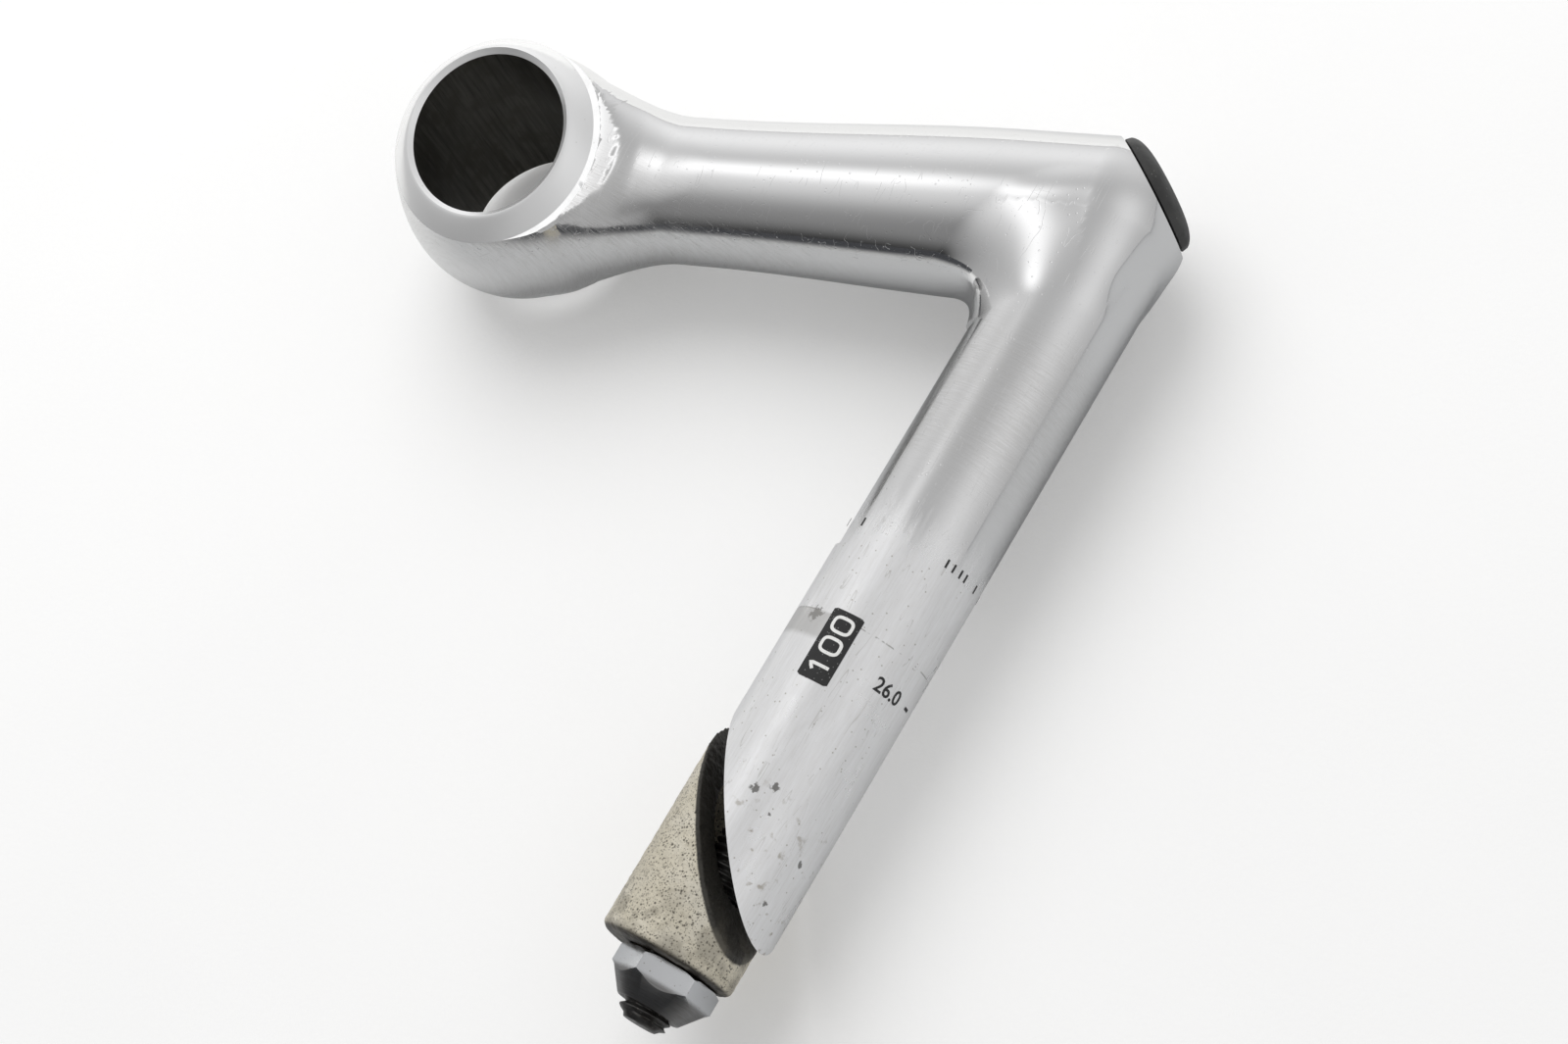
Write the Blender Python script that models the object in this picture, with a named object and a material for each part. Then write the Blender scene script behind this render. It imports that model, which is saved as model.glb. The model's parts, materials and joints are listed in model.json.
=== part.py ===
"""Quill handlebar stem with its clamp screw hidden inside, lying on its side.

The quill runs along Y (down the quill is -Y), the extension leaves it towards -X,
and the handlebar's axis is parallel to Z. Sizes are in metres.
"""

from math import cos, pi, radians, sin, sqrt, tan

import bmesh
import bpy
from mathutils import Matrix, Vector

MM = 0.001

# The whole stem
EXTENSION_LENGTH = 100.0 * MM  # quill axis to handlebar axis, along the extension
STEM_ANGLE = radians(73.0)  # between the quill and the extension
QUILL_RADIUS = 11.1 * MM  # slides in a 1 inch steerer tube
QUILL_LENGTH = 107.0 * MM  # from the extension's axis to the middle of the slanted cut
QUILL_WALL = 2.8 * MM
CUT_SLOPE = 1.43  # drop of the slanted cut per unit across the quill
CUT_TURN = radians(7.0)  # the cut faces this far round from the stem's own plane
FIT_GAP = 0.3 * MM  # clearance between pieces that touch

# Handlebar clamp
BAR_RADIUS = 13.0 * MM
MOUTH_FLARE = 0.8 * MM  # the bore's chamfered mouth is wider than the bar by this
RIM_WIDTH = 3.4 * MM  # polished rim round the mouth, measured across
RIM_DEPTH = 2.9 * MM  # how far the rim falls away from the mouth
RIM_CURVE = 1.25  # 1 is a straight cone, more is rounder near the mouth
BELLY_SWELL = 2.2 * MM  # the clamp's middle stands out past its rim by this
CLAMP_HALF_LENGTH = 14.9 * MM
MOUTH_DEPTH = 0.6 * MM
MOUTH_EDGE = 0.2 * MM
CLAMP_TAPER = 0.198  # rise of each end face per unit towards the stem's top side

# Extension
SHOULDER_RADIUS = 13.35 * MM  # at the quill
SHOULDER_PLACE = 15.0 * MM  # the shoulder ends this far from the quill's axis
NECK_RADIUS = 11.7 * MM  # thinnest place
NECK_FROM_CLAMP = 14.6 * MM  # from the neck to the clamp's nearest point
ROOT_ANGLE = radians(21.0)  # where the flared root meets the clamp, from its top
ROOT_HALF_WIDTH = 12.2 * MM
HEEL_DEPTH = 11.5 * MM  # how far the round end reaches behind the quill's axis
CROTCH_RADIUS = 6.6 * MM  # inner fillet under the extension

# Slanted face on the top corner, its opening and its rubber cap
FACE_DISTANCE = 7.1 * MM  # from the crossing of the two axes
FACE_SHIFT = 1.2 * MM  # the opening's centre lies this far towards the stem's top
CAP_RADIUS = 9.6 * MM
CAP_HEIGHT = 3.2 * MM
CAP_EDGE = 0.3 * MM
DOME_POWER = 3.6  # how full the dome is: 2 is a plain bowl, more has a flatter top
CAP_OVERLAP = 1.8 * MM  # cap beyond the opening, all round
OPENING_DEPTH = 5.0 * MM
PLUG_DEPTH = 3.6 * MM
PLUG_WALL = 1.4 * MM
PLUG_TAPER = 0.4 * MM
CAP_HOLLOW = 0.8 * MM  # the plug's hollow reaches this far into the dome

# Expander bolt, washer and nut
BOLT_RADIUS = 4.0 * MM
BOLT_HEAD_RING = 2.1 * MM  # the head stands out past the shank by this
BOLT_HEAD_HEIGHT = 8.0 * MM
BOLT_SOCKET_FLATS = 6.0 * MM
BOLT_SOCKET_DEPTH = 4.2 * MM
BOLT_TAIL = 2.4 * MM  # thread that stands out below the nut
BOLT_BEVEL = 0.8 * MM
BOLT_PLAY = 0.6 * MM  # between the shank and its plain holes
HEAD_PLAY = 0.4 * MM
SEAT_DEPTH = 26.0 * MM  # the shoulder under the bolt's head, down from the axis
SEAT_THICKNESS = 10.0 * MM
HEAD_BORE_TOP = 2.0 * MM
WASHER_THICKNESS = 1.6 * MM
NUT_FLATS = 3.5 * BOLT_RADIUS
NUT_HEIGHT = 6.7 * MM
NUT_NOSE = 0.9 * MM  # flat ring round the thread at the nut's lower end
NUT_CONE = 3.3 * MM
NUT_TURN = radians(22.0)

# Wedge
WEDGE_SLACK = 0.55 * MM  # the wedge is this much smaller than the quill, on the radius
WEDGE_LENGTH = 18.3 * MM  # from the middle of its cut to its foot
WEDGE_SIDESTEP = 1.5 * MM  # it hangs this far towards the front of the quill
WEDGE_PLAY = 0.4 * MM  # left between the bolt and the wedge's hole on that side
WEDGE_GAP = 5.0 * MM  # along the quill, between the middles of the two slanted cuts
WEDGE_TURN = radians(15.0)  # its cut has turned a little further round than the quill's
WEDGE_BEVEL = 0.4 * MM

# Handlebar clamp screw, its steel bush and the plunger that presses the bar
SCREW_RADIUS = 5.0 * MM
SCREW_LENGTH = 22.0 * MM
SCREW_SOCKET_FLATS = 5.0 * MM
SCREW_SOCKET_DEPTH = 5.0 * MM
SCREW_BEVEL = 0.7 * MM
BUSH_LENGTH = 15.0 * MM
BUSH_WALL = 1.4 * MM
BUSH_STEP = 1.6 * MM  # shoulder that the bush stands against
PLUNGER_LENGTH = 18.1 * MM  # along its axis, to the middle of its hollow face
PLUNGER_SETBACK = 0.6 * MM  # its hollow face stands back from the bar by this
PLUNGER_BEVEL = 0.5 * MM

SUNK = 0.12 * MM  # a blend's ends lie this far under the pieces it joins
STEP = 0.01 * MM  # rise of a square shoulder, so that no two rings share a height
OVERRUN = 1.0 * MM  # cutters reach this far past what they cut
FAR = 60.0 * MM  # reach of the blocks that cut off all beyond a plane

ROUND = 64  # sides of a large round piece
SMALL_ROUND = 32

MOUTH_RADIUS = BAR_RADIUS + MOUTH_FLARE
RIM_RADIUS = MOUTH_RADIUS + RIM_WIDTH
BELLY_RADIUS = RIM_RADIUS + BELLY_SWELL
NECK_PLACE = EXTENSION_LENGTH - BELLY_RADIUS - NECK_FROM_CLAMP
OPENING_RADIUS = CAP_RADIUS - CAP_OVERLAP
BOLT_HOLE_RADIUS = BOLT_RADIUS + BOLT_PLAY
BOLT_HEAD_RADIUS = BOLT_RADIUS + BOLT_HEAD_RING
HEAD_BORE_RADIUS = BOLT_HEAD_RADIUS + HEAD_PLAY
QUILL_BORE_RADIUS = QUILL_RADIUS - QUILL_WALL
QUILL_FOOT = -(QUILL_LENGTH + CUT_SLOPE * QUILL_RADIUS)
WEDGE_RADIUS = QUILL_RADIUS - WEDGE_SLACK
WEDGE_HOLE_RADIUS = BOLT_RADIUS + WEDGE_SIDESTEP + WEDGE_PLAY
WEDGE_MIDDLE = -(QUILL_LENGTH + WEDGE_GAP)
WEDGE_FOOT = WEDGE_MIDDLE - WEDGE_LENGTH
NUT_CROWN = WEDGE_FOOT - FIT_GAP
NUT_FOOT = NUT_CROWN - NUT_HEIGHT
PLUNGER_BORE_RADIUS = SCREW_RADIUS + FIT_GAP + BUSH_WALL + FIT_GAP
KEY_BORE_RADIUS = PLUNGER_BORE_RADIUS - BUSH_STEP
PLUNGER_START = EXTENSION_LENGTH - BAR_RADIUS - PLUNGER_SETBACK - PLUNGER_LENGTH
SCREW_END = PLUNGER_START - FIT_GAP
BUSH_START = SCREW_END - SCREW_LENGTH


def place(origin, along, across):
    """Matrix of a frame whose Z runs along one direction and whose X runs across it."""
    z = Vector(along).normalized()
    x = (Vector(across) - Vector(across).dot(z) * z).normalized()
    turn = Matrix((x, z.cross(x), z)).transposed()
    return Matrix.Translation(origin) @ turn.to_4x4()


ALONG_EXTENSION = Vector((-sin(STEM_ANGLE), -cos(STEM_ANGLE), 0))
STEM_TOP = Vector((-cos(STEM_ANGLE), sin(STEM_ANGLE), 0))
CORNER_ANGLE = (pi - STEM_ANGLE) / 2
CORNER_OUT = Vector((cos(CORNER_ANGLE), sin(CORNER_ANGLE), 0))
CORNER_UP = Vector((-sin(CORNER_ANGLE), cos(CORNER_ANGLE), 0))
SIDE = Vector((0, 0, 1))

QUILL = place((0, 0, 0), (0, 1, 0), (1, 0, 0))
EXTENSION = place((0, 0, 0), ALONG_EXTENSION, STEM_TOP)
CLAMP = place(ALONG_EXTENSION * EXTENSION_LENGTH, SIDE, STEM_TOP)
CORNER = place(CORNER_OUT * FACE_DISTANCE + CORNER_UP * FACE_SHIFT, CORNER_OUT, SIDE)


def clear_scene():
    for obj in list(bpy.data.objects):
        bpy.data.objects.remove(obj)


def finish(name, colour, roughness, metallic):
    material = bpy.data.materials.new(name)
    material.use_nodes = True
    shader = material.node_tree.nodes["Principled BSDF"]
    shader.inputs["Base Color"].default_value = (*colour, 1)
    shader.inputs["Roughness"].default_value = roughness
    shader.inputs["Metallic"].default_value = metallic
    return material


def skin(name, rings, where):
    """Closed solid through rings of points, each with the same number of points."""
    work = bmesh.new()
    rows = [[work.verts.new(point) for point in ring] for ring in rings]
    for low, high in zip(rows, rows[1:]):
        for i in range(len(low)):
            j = (i + 1) % len(low)
            work.faces.new((low[i], low[j], high[j], high[i]))
    work.faces.new(list(reversed(rows[0])))
    work.faces.new(rows[-1])
    bmesh.ops.recalc_face_normals(work, faces=work.faces)
    mesh = bpy.data.meshes.new(name)
    work.to_mesh(mesh)
    work.free()
    mesh.shade_smooth()
    mesh.set_sharp_from_angle(angle=radians(30))
    obj = bpy.data.objects.new(name, mesh)
    obj.matrix_world = where
    bpy.context.scene.collection.objects.link(obj)
    return obj


def oval(height, half_x, half_y, sides):
    """Ring of points at one height."""
    turns = [2 * pi * i / sides for i in range(sides)]
    return [(half_x * cos(t), half_y * sin(t), height) for t in turns]


def turned(name, outline, where, sides=ROUND):
    """Round solid from (height, radius) pairs, low end first."""
    return skin(name, [oval(h, r, r, sides) for h, r in outline], where)


def hexagon(name, flats, low, high, where, turn=0.0):
    corner = flats / sqrt(3)
    turns = [turn + pi / 3 * i for i in range(6)]
    rings = [[(corner * cos(t), corner * sin(t), h) for t in turns] for h in (low, high)]
    return skin(name, rings, where)


def boolean(target, other, operation):
    modifier = target.modifiers.new(other.name, "BOOLEAN")
    modifier.operation = operation
    modifier.object = other
    modifier.solver = "EXACT"
    other.hide_render = True
    other.display_type = "WIRE"


def cut(target, *cutters):
    for cutter in cutters:
        boolean(target, cutter, "DIFFERENCE")


def weld(target, *others):
    for other in others:
        boolean(target, other, "UNION")


def ease(t):
    return t * t * (3 - 2 * t)


def extension_radius(s):
    """Radius of the round part of the extension, from its shoulder to its neck."""
    t = (s - SHOULDER_PLACE) / (NECK_PLACE - SHOULDER_PLACE)
    return SHOULDER_RADIUS + (NECK_RADIUS - SHOULDER_RADIUS) * ease(min(max(t, 0), 1))


def root_height(t):
    """Half height of the flared root, from the neck at 0 to where it touches the clamp at 1."""
    touch = BELLY_RADIUS * cos(ROOT_ANGLE) - SUNK
    run = EXTENSION_LENGTH - BELLY_RADIUS * sin(ROOT_ANGLE) - NECK_PLACE
    steep = tan(ROOT_ANGLE) * run
    return NECK_RADIUS + (touch - NECK_RADIUS) * ease(t) + steep * (t**3 - t**2)


def extension_sections():
    """(place, half height, half width) along the extension, heel first."""
    sections = []
    for a in [radians(d) for d in (86, 70, 54, 38, 20)]:
        sections.append((-HEEL_DEPTH * sin(a), SHOULDER_RADIUS * cos(a), SHOULDER_RADIUS * cos(a)))
    sections.append((0, SHOULDER_RADIUS, SHOULDER_RADIUS))
    sections.append((SHOULDER_PLACE, SHOULDER_RADIUS, SHOULDER_RADIUS))
    steps = 4
    for i in range(1, steps + 1):
        s = SHOULDER_PLACE + (NECK_PLACE - SHOULDER_PLACE) * i / steps
        sections.append((s, extension_radius(s), extension_radius(s)))
    end = EXTENSION_LENGTH - BELLY_RADIUS * sin(ROOT_ANGLE)
    steps = 8
    for i in range(1, steps + 1):
        t = i / steps
        wide = NECK_RADIUS + (ROOT_HALF_WIDTH - NECK_RADIUS) * t
        sections.append((NECK_PLACE + (end - NECK_PLACE) * t, root_height(t), wide))
    return sections


def extension_body():
    rings = [oval(s, tall, wide, ROUND) for s, tall, wide in extension_sections()]
    return skin("extension_body", rings, EXTENSION)


def elbow_body():
    """Bent pipe from the extension's axis to the quill's, whose inside is the crotch fillet."""
    bend = CROTCH_RADIUS + (SHOULDER_RADIUS + QUILL_RADIUS) / 2
    reach = bend / tan(STEM_ANGLE / 2)
    centre = Vector((-bend, -reach, 0))
    sweep = pi - STEM_ANGLE
    start, end = QUILL_RADIUS - SUNK, extension_radius(reach) - SUNK
    turns = [2 * pi * k / ROUND for k in range(ROUND)]
    rings = []
    steps = 14
    for i in range(steps + 1):
        t = i / steps
        out = Vector((cos(sweep * t), sin(sweep * t), 0))
        radius = start + (end - start) * ease(t)
        middle = centre + out * bend
        rings.append([middle + out * radius * cos(a) + SIDE * radius * sin(a) for a in turns])
    return skin("elbow_body", rings, Matrix())


def clamp_outline():
    """(height, radius) pairs of the clamp's outside, one end to the other."""
    half = []
    for t in (0.0, 0.4, 0.75, 1.0):
        height = CLAMP_HALF_LENGTH - RIM_DEPTH * t**RIM_CURVE
        half.append((height, MOUTH_RADIUS + RIM_WIDTH * t))
    shoulder = CLAMP_HALF_LENGTH - RIM_DEPTH
    for t in (0.8, 0.6, 0.4, 0.2, 0.0):
        half.append((shoulder * t, BELLY_RADIUS - BELLY_SWELL * t**2))
    return [(-h, r) for h, r in half] + [(h, r) for h, r in reversed(half[:-1])]


def taper_clamp(obj):
    """Makes the clamp wider towards the stem's top side, which slants both end faces."""
    for vertex in obj.data.vertices:
        vertex.co.z *= 1 + CLAMP_TAPER * vertex.co.x / CLAMP_HALF_LENGTH


def clamp_body():
    body = turned("clamp_body", clamp_outline(), CLAMP)
    taper_clamp(body)
    return body


def bar_bore():
    """Handlebar bore with a chamfered mouth at each end."""
    top = CLAMP_HALF_LENGTH
    inner = top - MOUTH_DEPTH
    edge = MOUTH_RADIUS - MOUTH_EDGE
    half = [(inner, BAR_RADIUS), (top, edge), (2 * top, edge)]
    outline = [(-h, r) for h, r in reversed(half)] + half
    bore = turned("bar_bore", outline, CLAMP)
    taper_clamp(bore)
    return bore


def quill_body():
    outline = [(QUILL_FOOT - OVERRUN, QUILL_RADIUS), (0, QUILL_RADIUS)]
    return turned("quill_body", outline, QUILL)


def slanted_block(name, height, turn, side):
    """Block that removes all above (side 1) or below (side -1) a slanted cut."""
    upward = Vector((CUT_SLOPE * cos(turn), 1, CUT_SLOPE * sin(turn)))
    frame = place((0, height, 0), side * upward, SIDE)
    return turned(name, [(0, FAR), (FAR, FAR)], frame, sides=4)


def quill_bores():
    """Bolt-head bore, bolt hole and the wide lower bore, as one stepped cutter."""
    seat = -SEAT_DEPTH
    under = seat - SEAT_THICKNESS
    outline = [
        (QUILL_FOOT - 2 * OVERRUN, QUILL_BORE_RADIUS),
        (under, QUILL_BORE_RADIUS),
        (under + STEP, BOLT_HOLE_RADIUS),
        (seat, BOLT_HOLE_RADIUS),
        (seat + STEP, HEAD_BORE_RADIUS),
        (HEAD_BORE_TOP, HEAD_BORE_RADIUS),
    ]
    return turned("quill_bores", outline, QUILL)


def extension_bores():
    """Key passage from the corner opening, then the wider bore of bush and plunger."""
    step = BUSH_START - FIT_GAP
    outline = [
        (0, KEY_BORE_RADIUS),
        (step, KEY_BORE_RADIUS),
        (step + STEP, PLUNGER_BORE_RADIUS),
        (EXTENSION_LENGTH, PLUNGER_BORE_RADIUS),
    ]
    return turned("extension_bores", outline, EXTENSION)


def corner_opening():
    outline = [(-OPENING_DEPTH, OPENING_RADIUS), (OVERRUN, OPENING_RADIUS)]
    return turned("corner_opening", outline, CORNER)


def corner_waste():
    return turned("corner_waste", [(0, FAR), (FAR, FAR)], CORNER, sides=4)


def stem_body(metal):
    body = clamp_body()
    body.name = "stem_body"
    weld(body, extension_body(), elbow_body(), quill_body())
    quill_cut = slanted_block("quill_cut", -QUILL_LENGTH, CUT_TURN, -1)
    cut(body, corner_waste(), bar_bore(), quill_cut)
    cut(body, quill_bores(), extension_bores(), corner_opening())
    body.data.materials.append(metal)
    return body


def dome_outline():
    """(height, radius) pairs of the cap's dome, rim first."""
    crown = CAP_HEIGHT - CAP_EDGE
    outline = [(FIT_GAP + STEP, CAP_RADIUS)]
    for part in (1.0, 0.97, 0.92, 0.84, 0.74, 0.6, 0.4, 0.2):
        rise = crown * (1 - part**DOME_POWER)
        outline.append((FIT_GAP + CAP_EDGE + rise, CAP_RADIUS * part))
    return outline


def top_cap(rubber):
    """Domed rubber cap on the slanted face, with a hollow plug that fits the opening."""
    plug = OPENING_RADIUS - FIT_GAP
    outline = [(-PLUG_DEPTH, plug - PLUG_TAPER), (FIT_GAP, plug)] + dome_outline()
    cap = turned("top_cap", outline, CORNER)
    hollow = plug - PLUG_WALL
    hole = [(-PLUG_DEPTH - OVERRUN, hollow), (CAP_HOLLOW, hollow)]
    cut(cap, turned("cap_hollow", hole, CORNER))
    cap.data.materials.append(rubber)
    return cap


def ring(name, low, high, outer, inner, where):
    """Short round sleeve: a washer or a bush."""
    sleeve = turned(name, [(low, outer), (high, outer)], where, SMALL_ROUND)
    hole = [(low - OVERRUN, inner), (high + OVERRUN, inner)]
    cut(sleeve, turned(name + "_hole", hole, where, SMALL_ROUND))
    return sleeve


def expander_washer(metal):
    low = -SEAT_DEPTH + FIT_GAP
    outer = HEAD_BORE_RADIUS - FIT_GAP
    high = low + WASHER_THICKNESS
    washer = ring("expander_washer", low, high, outer, BOLT_HOLE_RADIUS, QUILL)
    washer.data.materials.append(metal)
    return washer


def expander_bolt(metal):
    head = -SEAT_DEPTH + 2 * FIT_GAP + WASHER_THICKNESS
    crown = head + BOLT_HEAD_HEIGHT
    tip = NUT_FOOT - BOLT_TAIL
    outline = [
        (tip, BOLT_RADIUS - BOLT_BEVEL),
        (tip + BOLT_BEVEL, BOLT_RADIUS),
        (head, BOLT_RADIUS),
        (head + STEP, BOLT_HEAD_RADIUS),
        (crown - BOLT_BEVEL, BOLT_HEAD_RADIUS),
        (crown, BOLT_HEAD_RADIUS - BOLT_BEVEL),
    ]
    bolt = turned("expander_bolt", outline, QUILL, SMALL_ROUND)
    low = crown - BOLT_SOCKET_DEPTH
    cut(bolt, hexagon("bolt_socket", BOLT_SOCKET_FLATS, low, crown + OVERRUN, QUILL))
    bolt.data.materials.append(metal)
    return bolt


def expander_nut(metal):
    nut = hexagon("expander_nut", NUT_FLATS, NUT_FOOT, NUT_CROWN, QUILL, turn=NUT_TURN)
    wide = NUT_FLATS / sqrt(3) + SUNK
    blank = [
        (NUT_FOOT, BOLT_RADIUS + NUT_NOSE),
        (NUT_FOOT + NUT_CONE, wide),
        (NUT_CROWN, wide),
    ]
    boolean(nut, turned("nut_cone", blank, QUILL), "INTERSECT")
    bore = BOLT_RADIUS + FIT_GAP
    hole = [(NUT_FOOT - OVERRUN, bore), (NUT_CROWN + OVERRUN, bore)]
    cut(nut, turned("nut_thread", hole, QUILL, SMALL_ROUND))
    nut.data.materials.append(metal)
    return nut


def wedge(metal):
    """Slanted-cut expander that hangs on the bolt a little towards the quill's front."""
    where = Matrix.Translation((-WEDGE_SIDESTEP, 0, 0)) @ QUILL
    crown = WEDGE_MIDDLE + CUT_SLOPE * (WEDGE_RADIUS + WEDGE_SIDESTEP) + OVERRUN
    outline = [
        (WEDGE_FOOT, WEDGE_RADIUS - WEDGE_BEVEL),
        (WEDGE_FOOT + WEDGE_BEVEL, WEDGE_RADIUS),
        (crown, WEDGE_RADIUS),
    ]
    body = turned("wedge", outline, where)
    hole = [(WEDGE_FOOT - OVERRUN, WEDGE_HOLE_RADIUS), (crown + OVERRUN, WEDGE_HOLE_RADIUS)]
    wedge_cut = slanted_block("wedge_cut", WEDGE_MIDDLE, WEDGE_TURN, 1)
    cut(body, wedge_cut, turned("wedge_hole", hole, where, SMALL_ROUND))
    body.data.materials.append(metal)
    return body


def clamp_bush(metal):
    outer = PLUNGER_BORE_RADIUS - FIT_GAP
    end = BUSH_START + BUSH_LENGTH
    bush = ring("clamp_bush", BUSH_START, end, outer, SCREW_RADIUS + FIT_GAP, EXTENSION)
    bush.data.materials.append(metal)
    return bush


def clamp_screw(metal):
    outline = [
        (BUSH_START, SCREW_RADIUS - SCREW_BEVEL),
        (BUSH_START + SCREW_BEVEL, SCREW_RADIUS),
        (SCREW_END - SCREW_BEVEL, SCREW_RADIUS),
        (SCREW_END, SCREW_RADIUS - SCREW_BEVEL),
    ]
    screw = turned("clamp_screw", outline, EXTENSION, SMALL_ROUND)
    low, high = BUSH_START - OVERRUN, BUSH_START + SCREW_SOCKET_DEPTH
    cut(screw, hexagon("screw_socket", SCREW_SOCKET_FLATS, low, high, EXTENSION))
    screw.data.materials.append(metal)
    return screw


def clamp_plunger(metal):
    outer = PLUNGER_BORE_RADIUS - FIT_GAP
    outline = [
        (PLUNGER_START, outer - PLUNGER_BEVEL),
        (PLUNGER_START + PLUNGER_BEVEL, outer),
        (EXTENSION_LENGTH, outer),
    ]
    plunger = turned("clamp_plunger", outline, EXTENSION)
    face = BAR_RADIUS + PLUNGER_SETBACK
    length = 2 * CLAMP_HALF_LENGTH
    cut(plunger, turned("plunger_face", [(-length, face), (length, face)], CLAMP))
    plunger.data.materials.append(metal)
    return plunger


def rest_on_side():
    """Moves everything so that the lowest point is at Z 0 under the middle of the box."""
    bpy.context.view_layer.update()
    graph = bpy.context.evaluated_depsgraph_get()
    corners = []
    for obj in bpy.data.objects:
        if not obj.hide_render:
            solid = obj.evaluated_get(graph)
            corners += [solid.matrix_world @ v.co for v in solid.data.vertices]
    low = Vector([min(c[i] for c in corners) for i in range(3)])
    high = Vector([max(c[i] for c in corners) for i in range(3)])
    middle = (low + high) / 2
    shift = Matrix.Translation((-middle.x, -middle.y, -low.z))
    for obj in bpy.data.objects:
        obj.matrix_world = shift @ obj.matrix_world
    print("crossing of the quill and extension axes:", [round(v, 6) for v in shift.translation])


def main():
    clear_scene()
    polished = finish("polished_alloy", (0.80, 0.80, 0.79), 0.22, 1.0)
    rubber = finish("black_rubber", (0.035, 0.035, 0.033), 0.55, 0.0)
    dark_steel = finish("dark_steel", (0.10, 0.10, 0.10), 0.40, 1.0)
    plated = finish("plated_steel", (0.72, 0.72, 0.71), 0.25, 1.0)
    cast = finish("cast_wedge", (0.60, 0.56, 0.47), 0.60, 0.6)
    stem_body(polished)
    top_cap(rubber)
    expander_washer(plated)
    expander_bolt(dark_steel)
    expander_nut(plated)
    wedge(cast)
    clamp_bush(plated)
    clamp_screw(dark_steel)
    clamp_plunger(plated)
    rest_on_side()


main()
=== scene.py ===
# %% [markdown]
# # A quill handlebar stem, from measured frame to finished picture
#
# The stem is one forged piece of aluminium alloy: a ring that holds the handlebar, an
# extension, and a quill that goes down into the steerer tube. A rubber cap closes its top
# corner, and a wedge, a nut and a long bolt hang from the quill's slanted end. The packed
# frame already holds every piece at its true size, so this lesson adds only what the eye
# needs: smooth forged blends, real threads, cast grain, printed size marks and finishes.

import json
from math import cos, pi, radians, sin, sqrt

import bmesh
import bpy
import numpy as np
from mathutils import Matrix, Vector

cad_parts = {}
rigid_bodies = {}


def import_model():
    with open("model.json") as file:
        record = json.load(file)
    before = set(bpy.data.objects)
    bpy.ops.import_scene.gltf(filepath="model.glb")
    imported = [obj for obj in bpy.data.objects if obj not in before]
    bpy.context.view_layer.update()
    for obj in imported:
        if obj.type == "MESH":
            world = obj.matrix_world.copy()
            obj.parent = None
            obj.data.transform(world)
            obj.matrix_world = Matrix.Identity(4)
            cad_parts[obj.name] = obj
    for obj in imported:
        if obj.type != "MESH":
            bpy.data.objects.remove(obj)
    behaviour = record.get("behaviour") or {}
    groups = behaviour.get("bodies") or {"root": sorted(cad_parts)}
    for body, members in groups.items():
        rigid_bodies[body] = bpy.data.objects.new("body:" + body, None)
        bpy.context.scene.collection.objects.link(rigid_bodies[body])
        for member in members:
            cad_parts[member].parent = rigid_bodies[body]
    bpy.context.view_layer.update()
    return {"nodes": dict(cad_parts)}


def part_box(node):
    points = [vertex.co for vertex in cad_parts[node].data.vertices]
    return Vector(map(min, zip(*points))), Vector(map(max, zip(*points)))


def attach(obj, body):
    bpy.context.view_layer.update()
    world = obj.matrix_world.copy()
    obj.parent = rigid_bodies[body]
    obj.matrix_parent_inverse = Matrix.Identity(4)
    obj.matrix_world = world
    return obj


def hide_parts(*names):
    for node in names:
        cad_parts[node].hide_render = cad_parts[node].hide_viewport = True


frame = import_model()

# %% [markdown]
# Everything is easiest to describe from the point where the quill's axis crosses the
# extension's. The expander bolt lies on the quill's axis and its head is a known distance
# below that point, so the bolt's box gives the crossing.

# %% Where the two axes cross
MM = 0.001
HEAD_BELOW_CROSSING = 15.8 * MM
bolt_low, bolt_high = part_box("expander_bolt")
CROSSING = Vector(((bolt_low.x + bolt_high.x) / 2, bolt_high.y + HEAD_BELOW_CROSSING,
                   (bolt_low.z + bolt_high.z) / 2))
STEM_ANGLE = radians(73)
ALONG = Vector((-sin(STEM_ANGLE), -cos(STEM_ANGLE), 0))
TOPWARD = Vector((-cos(STEM_ANGLE), sin(STEM_ANGLE), 0))
SIDE = Vector((0, 0, 1))
print("crossing of the axes, mm:", [round(v / MM, 2) for v in CROSSING])

# %% [markdown]
# A few small helpers make every piece. `place` gives a frame that points along a
# direction, `mesh_object` makes a mesh whose vertices are already in their final place,
# `turned` spins an outline, and `carve` runs a stack of Booleans and keeps only the
# result. Sizes inside them are in millimetres, measured from the crossing.

# %% Helpers for meshes
EXTENSION_LENGTH = 100
CORNER_OUT_BY = 7.1
CORNER_UP_BY = 1.2


def place(origin, along, across):
    """Frame in millimetres from the crossing: Z along one direction, X across it."""
    z = Vector(along).normalized()
    x = (Vector(across) - Vector(across).dot(z) * z).normalized()
    return Matrix.Translation(origin) @ Matrix((x, z.cross(x), z)).transposed().to_4x4()


TO_WORLD = Matrix.Translation(CROSSING) @ Matrix.Scale(MM, 4)
QUILL = place((0, 0, 0), (0, 1, 0), (1, 0, 0))
EXTENSION = place((0, 0, 0), ALONG, TOPWARD)
CLAMP = place(ALONG * EXTENSION_LENGTH, SIDE, TOPWARD)
CORNER_TURN = (pi - STEM_ANGLE) / 2
CORNER_OUT = Vector((cos(CORNER_TURN), sin(CORNER_TURN), 0))
CORNER_UP = Vector((-sin(CORNER_TURN), cos(CORNER_TURN), 0))
CORNER = place(CORNER_OUT * CORNER_OUT_BY + CORNER_UP * CORNER_UP_BY, CORNER_OUT, SIDE)


def linked(name, data):
    """Object at the origin for a mesh, a light or a camera."""
    obj = bpy.data.objects.new(name, data)
    bpy.context.scene.collection.objects.link(obj)
    return obj


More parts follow.
